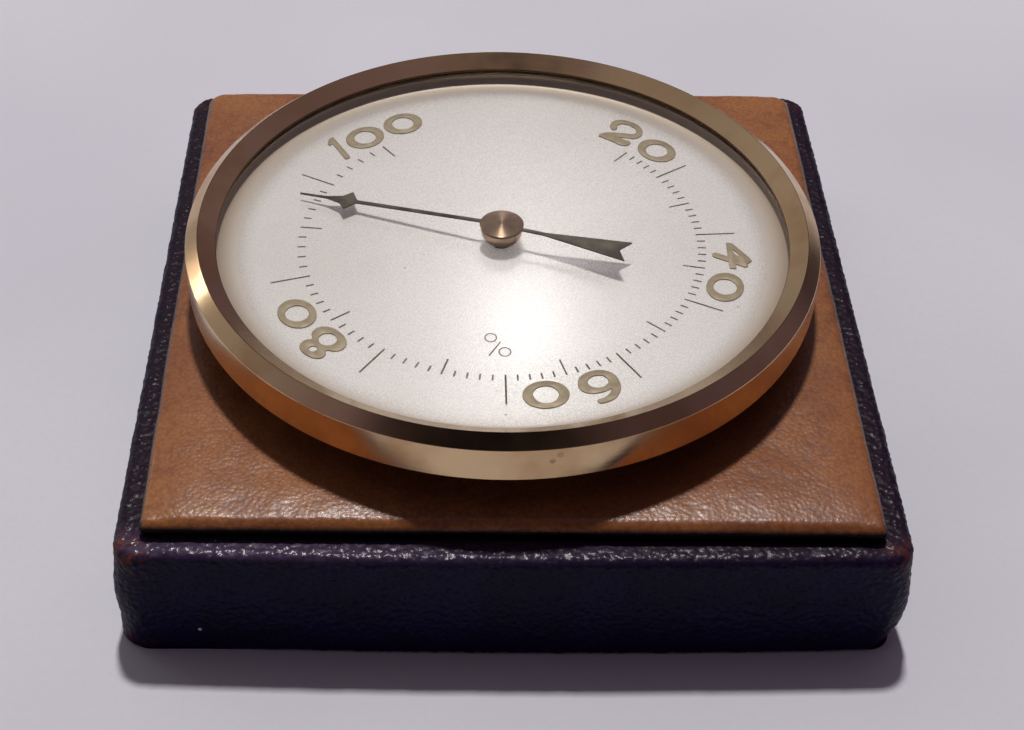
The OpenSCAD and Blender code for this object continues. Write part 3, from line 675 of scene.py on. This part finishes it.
def hand_made(p):
    """How the covered block strays from a true box at a point: its front is bowed, and its front corners
    swell at half their height and draw in at the foot."""
    x, y = p.x - block_x, p.y - block_y
    bow = 0.28 + 0.0061 * x - 0.00037 * x * x
    shift = Vector((0, -bow * ramp(-y / block_half_d, 0.45, 0.95), 0))
    low = ramp(p.z, 4.5, 0)
    half_way = math.exp(-((p.z - 8) / 6) ** 2)
    for side, squeeze, swell in ((1, 1.3, 1.0), (-1, -0.8, 1.0)):
        near = ramp(block_half_w - side * x, 9, 0) * ramp(block_half_d + y, 14, 0)
        shift += Vector((-side, 0.3, 0)) * near * (squeeze * low - swell * half_way)
        shift.z -= 0.7 * near ** 2 * ramp(p.z, 12, block_h)
    return shift


def cover_outline(inset, corner_r):
    """The block's outline, or one inside it."""
    return rounded_square(block_half_w - inset, block_half_d - inset, corner_r, cover_side_steps,
                          cover_corner_steps, (block_x, block_y))


def cover_rings():
    """The leathercloth's rings: from the dial's hole over the top, down the sides and back inside."""
    top_steps, rounding_steps, wall_steps, foot_steps = 9, 5, 34, 3
    inside_z = block_h - 2 * cover_t
    edge = cover_outline(0, block_corner_r)
    hole = around_hole(edge, recess_r)
    strip = cover_outline(cover_strip_w, 1.5)
    rim = cover_outline(block_top_r, block_corner_r - block_top_r)
    rings = [at_height(hole, inside_z), at_height(hole, block_h)]
    rings += [at_height(between(hole, strip, s), block_h) for s in (0.5, 1.0)]
    rings += [at_height(between(strip, rim, i / top_steps), block_h) for i in range(1, top_steps + 1)]
    for i in range(1, rounding_steps + 1):
        angle = TURN / 4 * i / rounding_steps
        inset = block_top_r * (1 - math.sin(angle))
        z = block_h - block_top_r * (1 - math.cos(angle))
        rings.append(at_height(cover_outline(inset, block_corner_r - inset), z))
    wall_top = block_h - block_top_r
    for i in range(1, wall_steps + 1):
        rings.append(at_height(edge, wall_top - (wall_top - block_foot_r) * i / wall_steps))
    for i in range(1, foot_steps + 1):
        angle = TURN / 4 * i / foot_steps
        inset = block_foot_r * (1 - math.cos(angle))
        z = block_foot_r * (1 - math.sin(angle))
        rings.append(at_height(cover_outline(inset, block_corner_r - inset), z))
    window = rounded_square(window_half_w, window_half_d, window_corner_r, cover_side_steps,
                            cover_corner_steps, (block_x, block_y))
    lining = cover_outline(cover_t, block_corner_r - cover_t / 2)
    return rings + [at_height(window, 0), at_height(window, cover_t), at_height(lining, cover_t),
                    at_height(lining, inside_z)]


def cover_block():
    """The leathercloth: pebbled outside, plain inside, with the dial's hole and the felt's window."""
    bm = skin(cover_rings())
    bm.normal_update()
    rubs, dusts_and_sheens, top_light_shares, polishes = [], [], [], []
    for v in bm.verts:
        p = v.co.copy()
        x, y = p.x - block_x, p.y - block_y
        to_side, to_end = block_half_w - abs(x), block_half_d - abs(y)
        to_edge = depth_inside(x, y, block_half_w, block_half_d, block_corner_r)
        off_floor = p.z > 0.02
        on_top = p.z > block_h - 0.01
        rounding = p.z > block_h - block_top_r
        outer_depth = cover_strip_w + 0.1 if on_top else 0.5 + block_top_r * rounding
        shown = off_floor and to_edge < outer_depth
        in_lining = to_edge > cover_t - 0.1 and not rounding
        facing_up = max(0.0, v.normal.z) ** 2

        corner = ramp(math.hypot(to_side, to_end), 5.5, 0)
        wear = 0.05 + ramp(p.z, block_h - 5, block_h) ** 2 + 0.5 * ramp(p.z, 2.5, 0)
        most_worn = x < 0 and y < 0
        rubs.append(min(1.0, (2.4 if most_worn else 0.9) * corner * wear))
        # Painted light: how far each upward-facing point of the cover is lightened
        top_light_shares.append(facing_up if shown else 0.0)
        at_front = ramp(to_end, 6, 0) if y < 0 else 0.0
        handled = at_front * max(0.2, min(1.0, 0.55 - x / 70))
        # The front's dust, which the material also uses as a painted sheen
        dusts_and_sheens.append(handled)
        at_rim = to_edge < block_top_r + 1.2 and p.z > 1
        polishes.append(facing_up * (0.15 + 0.7 * handled) if at_rim else 0.0)

        if shown and not in_lining:
            lump = pebble(p, 1.0) * 0.13 + noise.noise(p / 5) * 0.05
            if on_top and y < 0 and max(to_side, to_end) < 7:
                # The cloth is folded over itself along the corner's diagonal
                lump += 0.2 * math.exp(-((to_side - to_end) / 0.5) ** 2)
            v.co = p + v.normal * (lump - 0.07) + hand_made(p)
        elif off_floor and not on_top and to_edge < cover_t + 0.3:
            v.co = p + hand_made(p)
    carry(bm, "rub", rubs)
    carry(bm, "dust_and_sheen", dusts_and_sheens)
    carry(bm, "level", top_light_shares)
    carry(bm, "polish", polishes)
    return piece("leathercloth_cover", bm, "base", "black_covering", "cover", "base_wrap", sharp=60)


def felt_sheet():
    """The felt under the block, with the key's hole cut through it."""
    edge = rounded_square(window_half_w - felt_gap, window_half_d - felt_gap, window_corner_r - 0.1, 40, 4,
                          (block_x, block_y))
    hole = around_hole(edge, key_hole_r, (shaft_x, shaft_y))
    steps = 12
    outwards = range(steps + 1)
    rings = []
    for z, order in ((0.0, outwards), (felt_t, reversed(outwards))):
        rings += [at_height(between(hole, edge, i / steps), z) for i in order]
    bm = skin(rings)
    for v in bm.verts:
        inward = 1 if v.co.z < felt_t / 2 else -1
        v.co.z += max(0.0, noise.noise(v.co / 1.3)) * 0.05 * inward
    felt = piece("base_felt_sheet", bm, "base", "felt", "felt", "base_felt", sharp=50)
    return felt


# Leather pad


def leather_creases(p):
    """How far the leather stands proud at a point, in millimetres, and how deep in a crease it lies."""
    warp = Vector((noise.noise(p / 7), noise.noise(p / 7 + Vector((9, 3, 1))), 0)) * 1.4
    q = p + warp
    near = noise.voronoi(Vector((q.x, q.y * 1.25, q.z)) / 2.1)[0]
    furrow = max(0.0, 1 - (near[1] - near[0]) * 5)
    patch = max(0.0, min(1.0, 0.4 + 1.8 * noise.noise(p / 15 + Vector((2, 7, 0)))))
    swell = noise.noise(p / 9) * 0.11 + noise.noise(p / 3.2) * 0.06
    return swell - furrow * 0.022 * patch, min(1.0, furrow * patch)


def pad_outline(inset):
    """The pad's outline, or one inside it, slanted and spread as the leather was cut."""
    radii = [max(0.3, r - inset) for r in (pad_corner_r, pad_corner_r, pad_front_r, pad_front_r)]
    true = rounded_square(pad_half_w - inset, pad_half_d - inset, radii, 190, 12)
    return [Vector((pad_x + p.x * (1 + pad_spread * p.y / pad_half_d), pad_y + p.y + pad_slant * p.x))
            for p in true]


def pad_rings():
    """The leather's rings: from the dial's hole over the top, down the sides and back under the board."""
    top_steps, edge_steps, side_steps = 62, 8, 6
    foot_z = block_h + 0.05
    hole = around_hole(pad_outline(0), recess_r)
    shoulder = pad_outline(pad_edge_r)
    rings = [at_height(hole, foot_z), at_height(hole, pad_top)]
    rings += [at_height(between(hole, shoulder, i / top_steps), pad_top) for i in range(1, top_steps + 1)]
    for i in range(1, edge_steps + 1):
        angle = TURN / 4 * i / edge_steps
        outline = pad_outline(pad_edge_r * (1 - math.sin(angle)))
        rings.append(at_height(outline, pad_top - pad_edge_r * (1 - math.cos(angle))))
    side_h = pad_h - pad_edge_r - 0.06
    for i in range(1, side_steps + 1):
        angle = TURN / 4 * i / side_steps
        outline = pad_outline(pad_tuck * (1 - math.cos(angle)))
        rings.append(at_height(outline, pad_top - pad_edge_r - side_h * math.sin(angle)))
    turned_in, lining = pad_outline(2 * leather_t), pad_outline(leather_t)
    lining_top = pad_outline(leather_t + 0.6)
    under_z = pad_top - leather_t
    return rings + [at_height(turned_in, foot_z), at_height(turned_in, block_h + 0.3),
                    at_height(lining, block_h + 0.4), at_height(lining, under_z - 0.6),
                    at_height(lining_top, under_z), at_height(between(hole, lining_top, 0.02), under_z)]


def leather_pad():
    """Leather drawn over the pad's board: a soft top edge, sides tucked in and darkened by dye and painted
    shade, and creases.
    """
    bm = skin(pad_rings())
    bm.normal_update()
    crease_shades, dyes_and_shades = [], []
    for v in bm.verts:
        p = v.co.copy()
        deep = p.y - pad_y - pad_slant * (p.x - pad_x)
        across = (p.x - pad_x) / (1 + pad_spread * deep / pad_half_d)
        corner_r = pad_front_r if deep < 0 else pad_corner_r
        to_edge = depth_inside(across, deep, pad_half_w, pad_half_d, corner_r)
        on_side = abs(across) / pad_half_w > abs(deep) / pad_half_d
        # Dye and painted shade on the sides and on the lower half of the edge's rounding
        dye_and_shade = ramp(pad_top - p.z, 0.5, 1.2) if to_edge < 2 * leather_t else 0.0
        if on_side:
            dye_and_shade += max(0.0, 0.7 - to_edge / 2)
        dyes_and_shades.append(min(1.0, dye_and_shade))
        inside = to_edge > leather_t - 0.1 and p.z < pad_top - 0.8
        if inside or p.z < block_h + 0.2:
            crease_shades.append(0.0)
            continue
        # The crease depth also sets the painted shade in the creases
        proud, hollow = leather_creases(p)
        free = ramp(p.xy.length, recess_r, recess_r + 3)
        to_fall = max(0.0, depth_inside(across, deep, pad_half_w, pad_half_d, pad_fall_w))
        fall = pad_fall_h * ramp(to_fall, pad_fall_w, 0) ** 2 * ramp(p.z, block_h, block_h + 1.5)
        v.co = p + v.normal * (free * proud - 0.1) - Vector((0, 0, free * fall))
        crease_shades.append(hollow)
    carry(bm, "hollow", crease_shades)
    carry(bm, "dye_and_shade", dyes_and_shades)
    pad = piece("leather_pad", bm, "base", "tan_leather", "leather", "pad_leather", sharp=60)
    return pad


# Bezel, glass and hub


def bezel_ring():
    """The brass rim: band, bevel, ridge, cone down to the lip, and the snap ring's groove inside."""
    bm = turned([(bore_r, bezel_bottom), (bezel_r, bezel_bottom), (bezel_r, shoulder_z), (ridge_r, ridge_z),
                 (glass_r, lip_z), (glass_r, lip_z - lip_t), (bore_r, lip_z - lip_t), (bore_r, groove_top),
                 (groove_r, groove_top), (groove_r, groove_bottom), (bore_r, groove_bottom)], 288)
    soften(bm, 0.1, beyond=ridge_r + 0.5)
    soften(bm, 0.02, segments=2)
    return piece("bezel_ring", bm, "base", "bezel_brass", "bezel", "bezel", sharp=8)


def domed_glass():
    """A watch glass: a shallow dome with a flat rim under the bezel's lip."""
    dome_r = (glass_r ** 2 + glass_rise ** 2) / (2 * glass_rise)
    rim_top = glass_edge_z + glass_t
    steps = 28

    def dome(foot_z):
        arc = []
        for i in range(steps + 1):
            r = glass_r * i / steps
            arc.append((r, foot_z + math.sqrt(dome_r ** 2 - r ** 2) - (dome_r - glass_rise)))
        return arc

    profile = dome(rim_top) + [(inner_r, rim_top), (inner_r, glass_edge_z)] + dome(glass_edge_z)[::-1]
    return piece("domed_glass", turned(profile, 160, closed=False), "base", "dial_glass", "glass", "glass")


def dial_cove():
    """The ring that holds the glass off the dial, its inside a hollow curve down to the dial."""
    foot_r, head_r, steps = 37.2, 40.6, 16
    rise = glass_edge_z - dial_top
    hollow = []
    for i in range(steps + 1):
        angle = TURN / 4 * i / steps
        r = foot_r + (head_r - foot_r) * math.sin(angle)
        hollow.append((r, dial_top + rise * (1 - math.cos(angle))))
    profile = [(inner_r, dial_top)] + hollow + [(inner_r, glass_edge_z)]
    cove = turned(profile, 240)
    return piece("dial_cove", cove, "base", "silvered_dial", "cove", "spacer_ring", sharp=60)


def hub():
    """The collet that carries the hand, and the cap on top of it."""
    bowl_h, bowl_steps = hand_z - 0.2 - stem_z, 8
    bowl = []
    for i in range(bowl_steps + 1):
        angle = TURN / 4 * i / bowl_steps
        r = stem_r + (collet_r - stem_r) * math.sin(angle)
        bowl.append((r, stem_z + bowl_h * (1 - math.cos(angle))))
    collet = turned([(pivot_r, stem_z)] + bowl + [(collet_r, hand_z), (pivot_r, hand_z)], 96)
    piece("hub_collet", collet, "pointer", "hub_brass", "hub", "pointer_collet", sharp=30)
    rim_r = cap_r - 0.1
    cap = turned([(0, hand_top), (rim_r, hand_top), (cap_r, hand_top + 0.1), (rim_r, hand_top + 0.2),
                  (1.6, hand_top + 0.3), (0.4, cap_top), (0, cap_top)], 96, closed=False)
    piece("hub_cap", soften(cap, 0.03), "pointer", "hub_brass", "hub", "pointer_cap", sharp=8)


# Dial marks

# Bearing of each fifth mark in degrees, clockwise from the back, read off the photographed dial
bearings = {20: 42.0, 25: 56.9, 30: 71.9, 35: 86.7, 40: 101.8, 45: 116.8, 50: 131.7, 55: 148.0, 60: 163.9,
            65: 180.04, 70: 196.95, 75: 215.0, 80: 234.0, 85: 254.07, 90: 276.55, 95: 298.5, 100: 322.7}
unit_from, unit_to = 27.64, 28.78
ten_from = 25.68
five_to = 33.19
mark_w = 0.25
mark_h = 0.02


def bearing_of(humidity):
    """Bearing of a mark, evenly between the fifth marks on either side of it."""
    below = humidity - humidity % 5
    share = (humidity - below) / 5
    return bearings[below] if share == 0 else bearings[below] * (1 - share) + bearings[below + 5] * share


def dial_spot(bearing, radius):
    angle = math.radians(90 - bearing)
    return Vector((radius * math.cos(angle), radius * math.sin(angle), dial_top))


def dial_marks():
    """One thin bar of ink for each per cent."""
    bm = bmesh.new()
    for humidity in range(20, 101):
        start = ten_from if humidity % 10 == 0 else unit_from
        end = five_to if humidity % 10 == 5 else unit_to
        bearing = bearing_of(humidity)
        middle = dial_spot(bearing, (start + end) / 2)
        place = Matrix.Translation(middle) @ Matrix.Rotation(math.radians(90 - bearing), 4, "Z")
        size = Matrix.Diagonal((end - start, mark_w, mark_h, 1))
        bmesh.ops.create_cube(bm, size=1, matrix=place @ size)
    return piece("dial_marks", bm, "base", "silvered_dial", "ink")


def flat_shape(outlines, height, edge):
    """A flat shape from closed outlines, cut out and rounded at its edge. An outline's point is soft,
    unless it has a third value, which makes it a corner."""
    curve = bpy.data.curves.new("outline", "CURVE")
    curve.dimensions = "2D"
    curve.fill_mode = "BOTH"
    curve.resolution_u = 6
    curve.extrude = height / 2
    curve.bevel_depth = edge
    curve.bevel_resolution = 2
    curve.offset = -edge
    for outline in outlines:
        spline = curve.splines.new("BEZIER")
        spline.bezier_points.add(len(outline) - 1)
        spline.use_cyclic_u = True
        for point, spot in zip(spline.bezier_points, outline):
            point.co = (spot[0], spot[1], 0)
            kind = "VECTOR" if len(spot) > 2 else "AUTO"
            point.handle_left_type = point.handle_right_type = kind
    holder = placed("outline", curve)
    mesh = bpy.data.meshes.new_from_object(holder.evaluated_get(bpy.context.evaluated_depsgraph_get()))
    bm = bmesh.new()
    bm.from_mesh(mesh)
    bpy.data.objects.remove(holder)
    bpy.data.curves.remove(curve)
    bpy.data.meshes.remove(mesh)
    return outward(bm)


def ellipse(x, y, across, up, points=12):
    return [(x + across * math.cos(TURN * i / points), y + up * math.sin(TURN * i / points))
            for i in range(points)]


# The figures' outlines, drawn one by one: x along the foot, y towards the head
figures = {
    "0": [ellipse(0, 0, 3.05, 2.55), ellipse(0, 0, 1.65, 1.6)],
    "1": [[(1.8, 3.0, 1), (0.05, -2.35, 1), (-0.15, -2.6), (-0.75, -2.6), (-0.95, -2.35, 1), (0.5, 1.7, 1),
           (-0.1, 1.8, 1), (-0.05, 2.25, 1), (0.95, 3.0, 1)]],
    "2": [[(-1.0, 0.35), (-1.35, -0.1), (-1.9, 0.1), (-2.5, 1.2), (-2.3, 2.3), (-1.2, 3.1), (0.2, 3.3),
           (1.7, 2.9), (2.7, 1.9), (2.95, 0.9), (2.5, -0.2), (1.4, -0.75), (0.4, -1.2, 1), (1.5, -1.35),
           (2.4, -1.25), (2.65, -1.7), (2.3, -2.6), (0, -2.75), (-2.3, -2.75, 1), (-2.4, -2.3),
           (-1.7, -1.2), (-0.3, -0.35), (0.9, 0.25), (1.75, 0.7), (1.9, 1.2), (1.5, 1.9), (0.6, 2.25),
           (-0.5, 2.25), (-1.25, 1.8), (-1.35, 1.2), (-1.0, 0.5)]],
    "4": [[(1.0, 2.75, 1), (0.2, 2.35, 1), (-2.7, 0.05, 1), (-2.75, -0.8, 1), (0.3, -0.6, 1),
           (-0.4, -2.35, 1), (-0.15, -2.7), (0.4, -2.7), (0.7, -2.4, 1), (1.45, -0.5, 1), (2.85, -0.35, 1),
           (2.95, 0.55, 1), (1.9, 0.55, 1), (2.45, 1.75, 1), (2.2, 2.15), (1.6, 2.15, 1)],
          [(-1.35, 0.12, 1), (-0.1, 1.15, 1), (0.15, 1.0, 1), (-0.3, 0.35, 1)]],
    "6": [[(-2.95, -0.6), (-2.75, 0.8), (-2.1, 1.9), (-1.1, 2.75), (0.1, 3.0), (1.1, 2.9), (1.35, 2.5),
           (1.2, 2.2), (0.4, 2.15), (-0.6, 1.75), (-1.25, 1.15), (-1.35, 0.95, 1), (-0.5, 1.1), (0.5, 1.1),
           (1.6, 0.75), (2.3, 0.1), (2.5, -0.7), (2.2, -1.7), (1.4, -2.6), (0, -3.0), (-1.4, -2.8),
           (-2.4, -2.1), (-2.9, -1.2)], ellipse(-0.3, -0.9, 1.35, 1.15)],
    "8": [[(2.15, 1.5), (1.8, 2.35), (0.9, 2.8), (-0.4, 2.8), (-1.5, 2.4), (-2.05, 1.6), (-1.85, 0.85),
           (-1.35, 0.35), (-2.1, -0.3), (-2.6, -1.3), (-2.3, -2.3), (-1.3, -3.05), (0.2, -3.3),
           (1.7, -3.1), (2.7, -2.3), (3.0, -1.35), (2.6, -0.35), (1.75, 0.3), (2.05, 0.85)],
          ellipse(0.25, -1.2, 1.25, 1.2), ellipse(0.1, 1.4, 0.55, 0.55)],
}
# Each figure, its bearing and the radius of its middle; the figures' heads point outwards
figure_places = [("1", 312.3, 32.56), ("0", 321.2, 32.23), ("0", 333.2, 32.23), ("2", 35.3, 32.41),
                 ("0", 47.5, 32.23), ("4", 95.6, 32.37), ("0", 108.2, 32.08), ("6", 158.2, 32.23),
                 ("0", 170.8, 31.85), ("8", 227.9, 32.60), ("0", 240.7, 31.97)]
figure_h = 0.17
figure_edge = 0.06


def scale_figures():
    """The raised gilt figures 20 to 100."""
    made = []
    for number, (figure, bearing, radius) in enumerate(figure_places):
        bm = flat_shape(figures[figure], figure_h - 2 * figure_edge, figure_edge)
        sunk = Vector((0, 0, figure_h / 2 - 0.01))
        place = Matrix.Translation(dial_spot(bearing, radius) + sunk)
        facing = Matrix.Rotation(math.radians(-bearing), 4, "Z")
        bmesh.ops.transform(bm, matrix=place @ facing, verts=bm.verts)
        made.append(piece(f"figure_{number + 1}_{figure}", bm, "base", "silvered_dial", "gilt", sharp=50))
    return made


def percent_sign():
    """The per cent sign: two thin rings and a stroke."""
    line = 0.19
    across, up = 0.86, 0.93
    outlines = []
    for x, y in ((-1.83, -20.39), (0.01, -23.22)):
        outlines += [ellipse(x, y, across, up), ellipse(x, y, across - line, up - line)]
    start, end = Vector((-0.52, -21.19)), Vector((-2.1, -23.96))
    side = (end - start).orthogonal().normalized() * line / 2
    outlines.append([(*p, 1) for p in (start + side, end + side, end - side, start - side)])
    bm = flat_shape(outlines, 2 * mark_h, 0)
    bmesh.ops.translate(bm, verts=bm.verts, vec=(0, 0, dial_top))
    return piece("percent_sign", bm, "base", "silvered_dial", "ink")


# Hair


def hair_strands():
    """The hair: a lock of fine strands side by side, slightly waved, from its eyelet to its clip."""
    picker = random.Random(7)
    strands, strand_r, lock_r = 14, 0.038, 0.19
    turn_on = 2.4  # radians from one strand to the next, which spreads them evenly over the lock
    sway = 0.02
    steps, sides = 48, 6
    bm = bmesh.new()
    for number in range(strands):
        angle = number * turn_on
        out = lock_r * math.sqrt((number + 0.5) / strands)
        wave = picker.uniform(0.6, 1.4)
        start = picker.uniform(0, TURN)
        y, z = hair_y + out * math.cos(angle), hair_z + out * math.sin(angle)
        foot = Vector((hair_x - hair_half_len, y, z))
        ring = bmesh.ops.create_circle(bm, cap_ends=True, segments=sides, radius=strand_r,
                                       matrix=Matrix.Translation(foot) @ Matrix.Rotation(TURN / 4, 4, "Y"))
        front = list({f for v in ring["verts"] for f in v.link_faces})
        for i in range(1, steps + 1):
            made = bmesh.ops.extrude_face_region(bm, geom=front)["geom"]
            if i > 1:
                bmesh.ops.delete(bm, geom=front, context="FACES_ONLY")
            front = [g for g in made if isinstance(g, bmesh.types.BMFace)]
            verts = [g for g in made if isinstance(g, bmesh.types.BMVert)]
            shift = sway * (math.sin(start + wave * i * 0.5) - math.sin(start + wave * (i - 1) * 0.5))
            bmesh.ops.translate(bm, verts=verts, vec=(2 * hair_half_len / steps, shift, -shift))
    outward(bm)
    return piece("hair_strands", bm, "hair_line", "hair", "hair", "hair_bundle", sharp=70)


# Stage, lights and camera


def floor():
    """A plain sheet, far wider than the camera sees."""
    bm = bmesh.new()
    bmesh.ops.create_grid(bm, x_segments=2, y_segments=2, size=3.0)
    mesh_object("floor", bm, finish["paper"])


def lamp(name, bearing, elevation, distance, width, height, radiance, colour=(1, 1, 1), only=()):
    """A soft box that faces the dial and lights all pieces, or only some and these without shadows.
    Bearing is clockwise from straight behind the part, in degrees, and lengths are in metres."""
    turn, rise = math.radians(bearing), math.radians(elevation)
    out = Vector((math.sin(turn) * math.cos(rise), math.cos(turn) * math.cos(rise), math.sin(rise)))
    light = bpy.data.lights.new(name, "AREA")
    light.shape = "RECTANGLE"
    light.size, light.size_y = width, height
    light.energy = radiance * math.pi * width * height
    light.color = colour
    made = placed(name, light)
    made.location = out * distance + Vector((0, 0, dial_top * MM))
    made.rotation_euler = (-out).to_track_quat("-Z", "Y").to_euler()
    if only:
        light.use_shadow = False
        lit = bpy.data.collections.new("lit_by_" + name)
        for target in only:
            lit.objects.link(target)
        made.light_linking.receiver_collection = lit


def room():
    """A dim room: light comes from behind the part, and the viewer's side is dark."""
    world = bpy.data.worlds.new("room")
    bpy.context.scene.world = world
    r = NodeTree(world)
    way = r.coordinates["Generated"]
    parts = r.add("SeparateXYZ")
    r.feed(parts.inputs[0], way)
    toward_back = r.spread(parts.outputs["Y"], -0.7, 0.7, 0.45, 1.3)
    to_right = r.spread(parts.outputs["X"], -0.9, 0.9)
    zenith = r.spread(parts.outputs["Z"], 0.8, 0.97, 1.0, 1.35)
    left = 0.28
    right = r.spread(parts.outputs["Z"], 0.05, 0.45, 0.02, 0.12)
    walls = r.work("ADD", left, r.work("MULTIPLY", to_right, r.work("SUBTRACT", right, left)))

    # The dark round the viewer fades out between two angles from its middle
    aside, above = math.radians(8), math.radians(53)
    dark_inside, dark_outside = math.radians(19), math.radians(34)
    dark = r.add("VectorMath", operation="DOT_PRODUCT")
    r.feed(dark.inputs[0], way)
    r.feed(dark.inputs[1], (-math.sin(aside) * math.cos(above), -math.cos(aside) * math.cos(above),
                            math.sin(above)))
    viewer = r.spread(dark.outputs["Value"], math.cos(dark_outside), math.cos(dark_inside), 1.0, 0.06)
    strength = r.work("MULTIPLY", r.work("MULTIPLY", toward_back, walls), r.work("MULTIPLY", zenith, viewer))

    light = r.add("Background")
    r.feed(light.inputs["Color"], r.tint(r.spread(strength, 0.08, 0.3), (1.0, 0.68, 1.0, 1),
                                         (1.0, 0.93, 0.97, 1)))
    r.feed(light.inputs["Strength"], strength)
    backdrop = r.add("Background")
    r.feed(backdrop.inputs["Color"], (0.5, 0.48, 0.53, 1))
    seen = r.add("LightPath").outputs["Is Camera Ray"]
    r.close(r.blend(seen, light.outputs[0], backdrop.outputs[0]), "OutputWorld")


def camera():
    """The photograph's viewpoint, from calibration on the block's and bezel's outlines."""
    eye = Vector((-6.95, -198.59, 187.63)) * MM
    yaw, pitch, roll = (math.radians(angle) for angle in (-0.199, 41.723, -0.0887))
    lens = bpy.data.cameras.new("camera")
    lens.sensor_width = 36
    lens.lens = 63.19
    lens.shift_x, lens.shift_y = 0.0630, -0.0277
    lens.clip_start, lens.clip_end = 0.01, 20
    made = placed("camera", lens)
    made.matrix_world = (Matrix.Translation(eye) @ Matrix.Rotation(-yaw, 4, "Z")
                         @ Matrix.Rotation(TURN / 4 - pitch, 4, "X") @ Matrix.Rotation(roll, 4, "Z"))
    bpy.context.scene.camera = made


camera()
room()
floor()
bpy.context.scene.view_settings.view_transform = "Standard"

cover_block()
felt_sheet()
leather_pad()
bezel_ring()
domed_glass()
dial_cove()
dial_face = [nodes["dial"], nodes["pointer_hand"], dial_marks(), percent_sign(), *scale_figures()]
hub()
hair_strands()

lamp("key", bearing=0, elevation=70.7, distance=2.0, width=0.13, height=0.13, radiance=544,
     colour=(1.0, 0.975, 0.955))
# This one stays off the glass, which would mirror it as a hard-edged square
lamp("glare", bearing=3.3, elevation=42.2, distance=1.2, width=0.06, height=0.06, radiance=24,
     only=dial_face)
lamp("window", bearing=-57, elevation=13, distance=1.0, width=0.16, height=0.10, radiance=6.0)
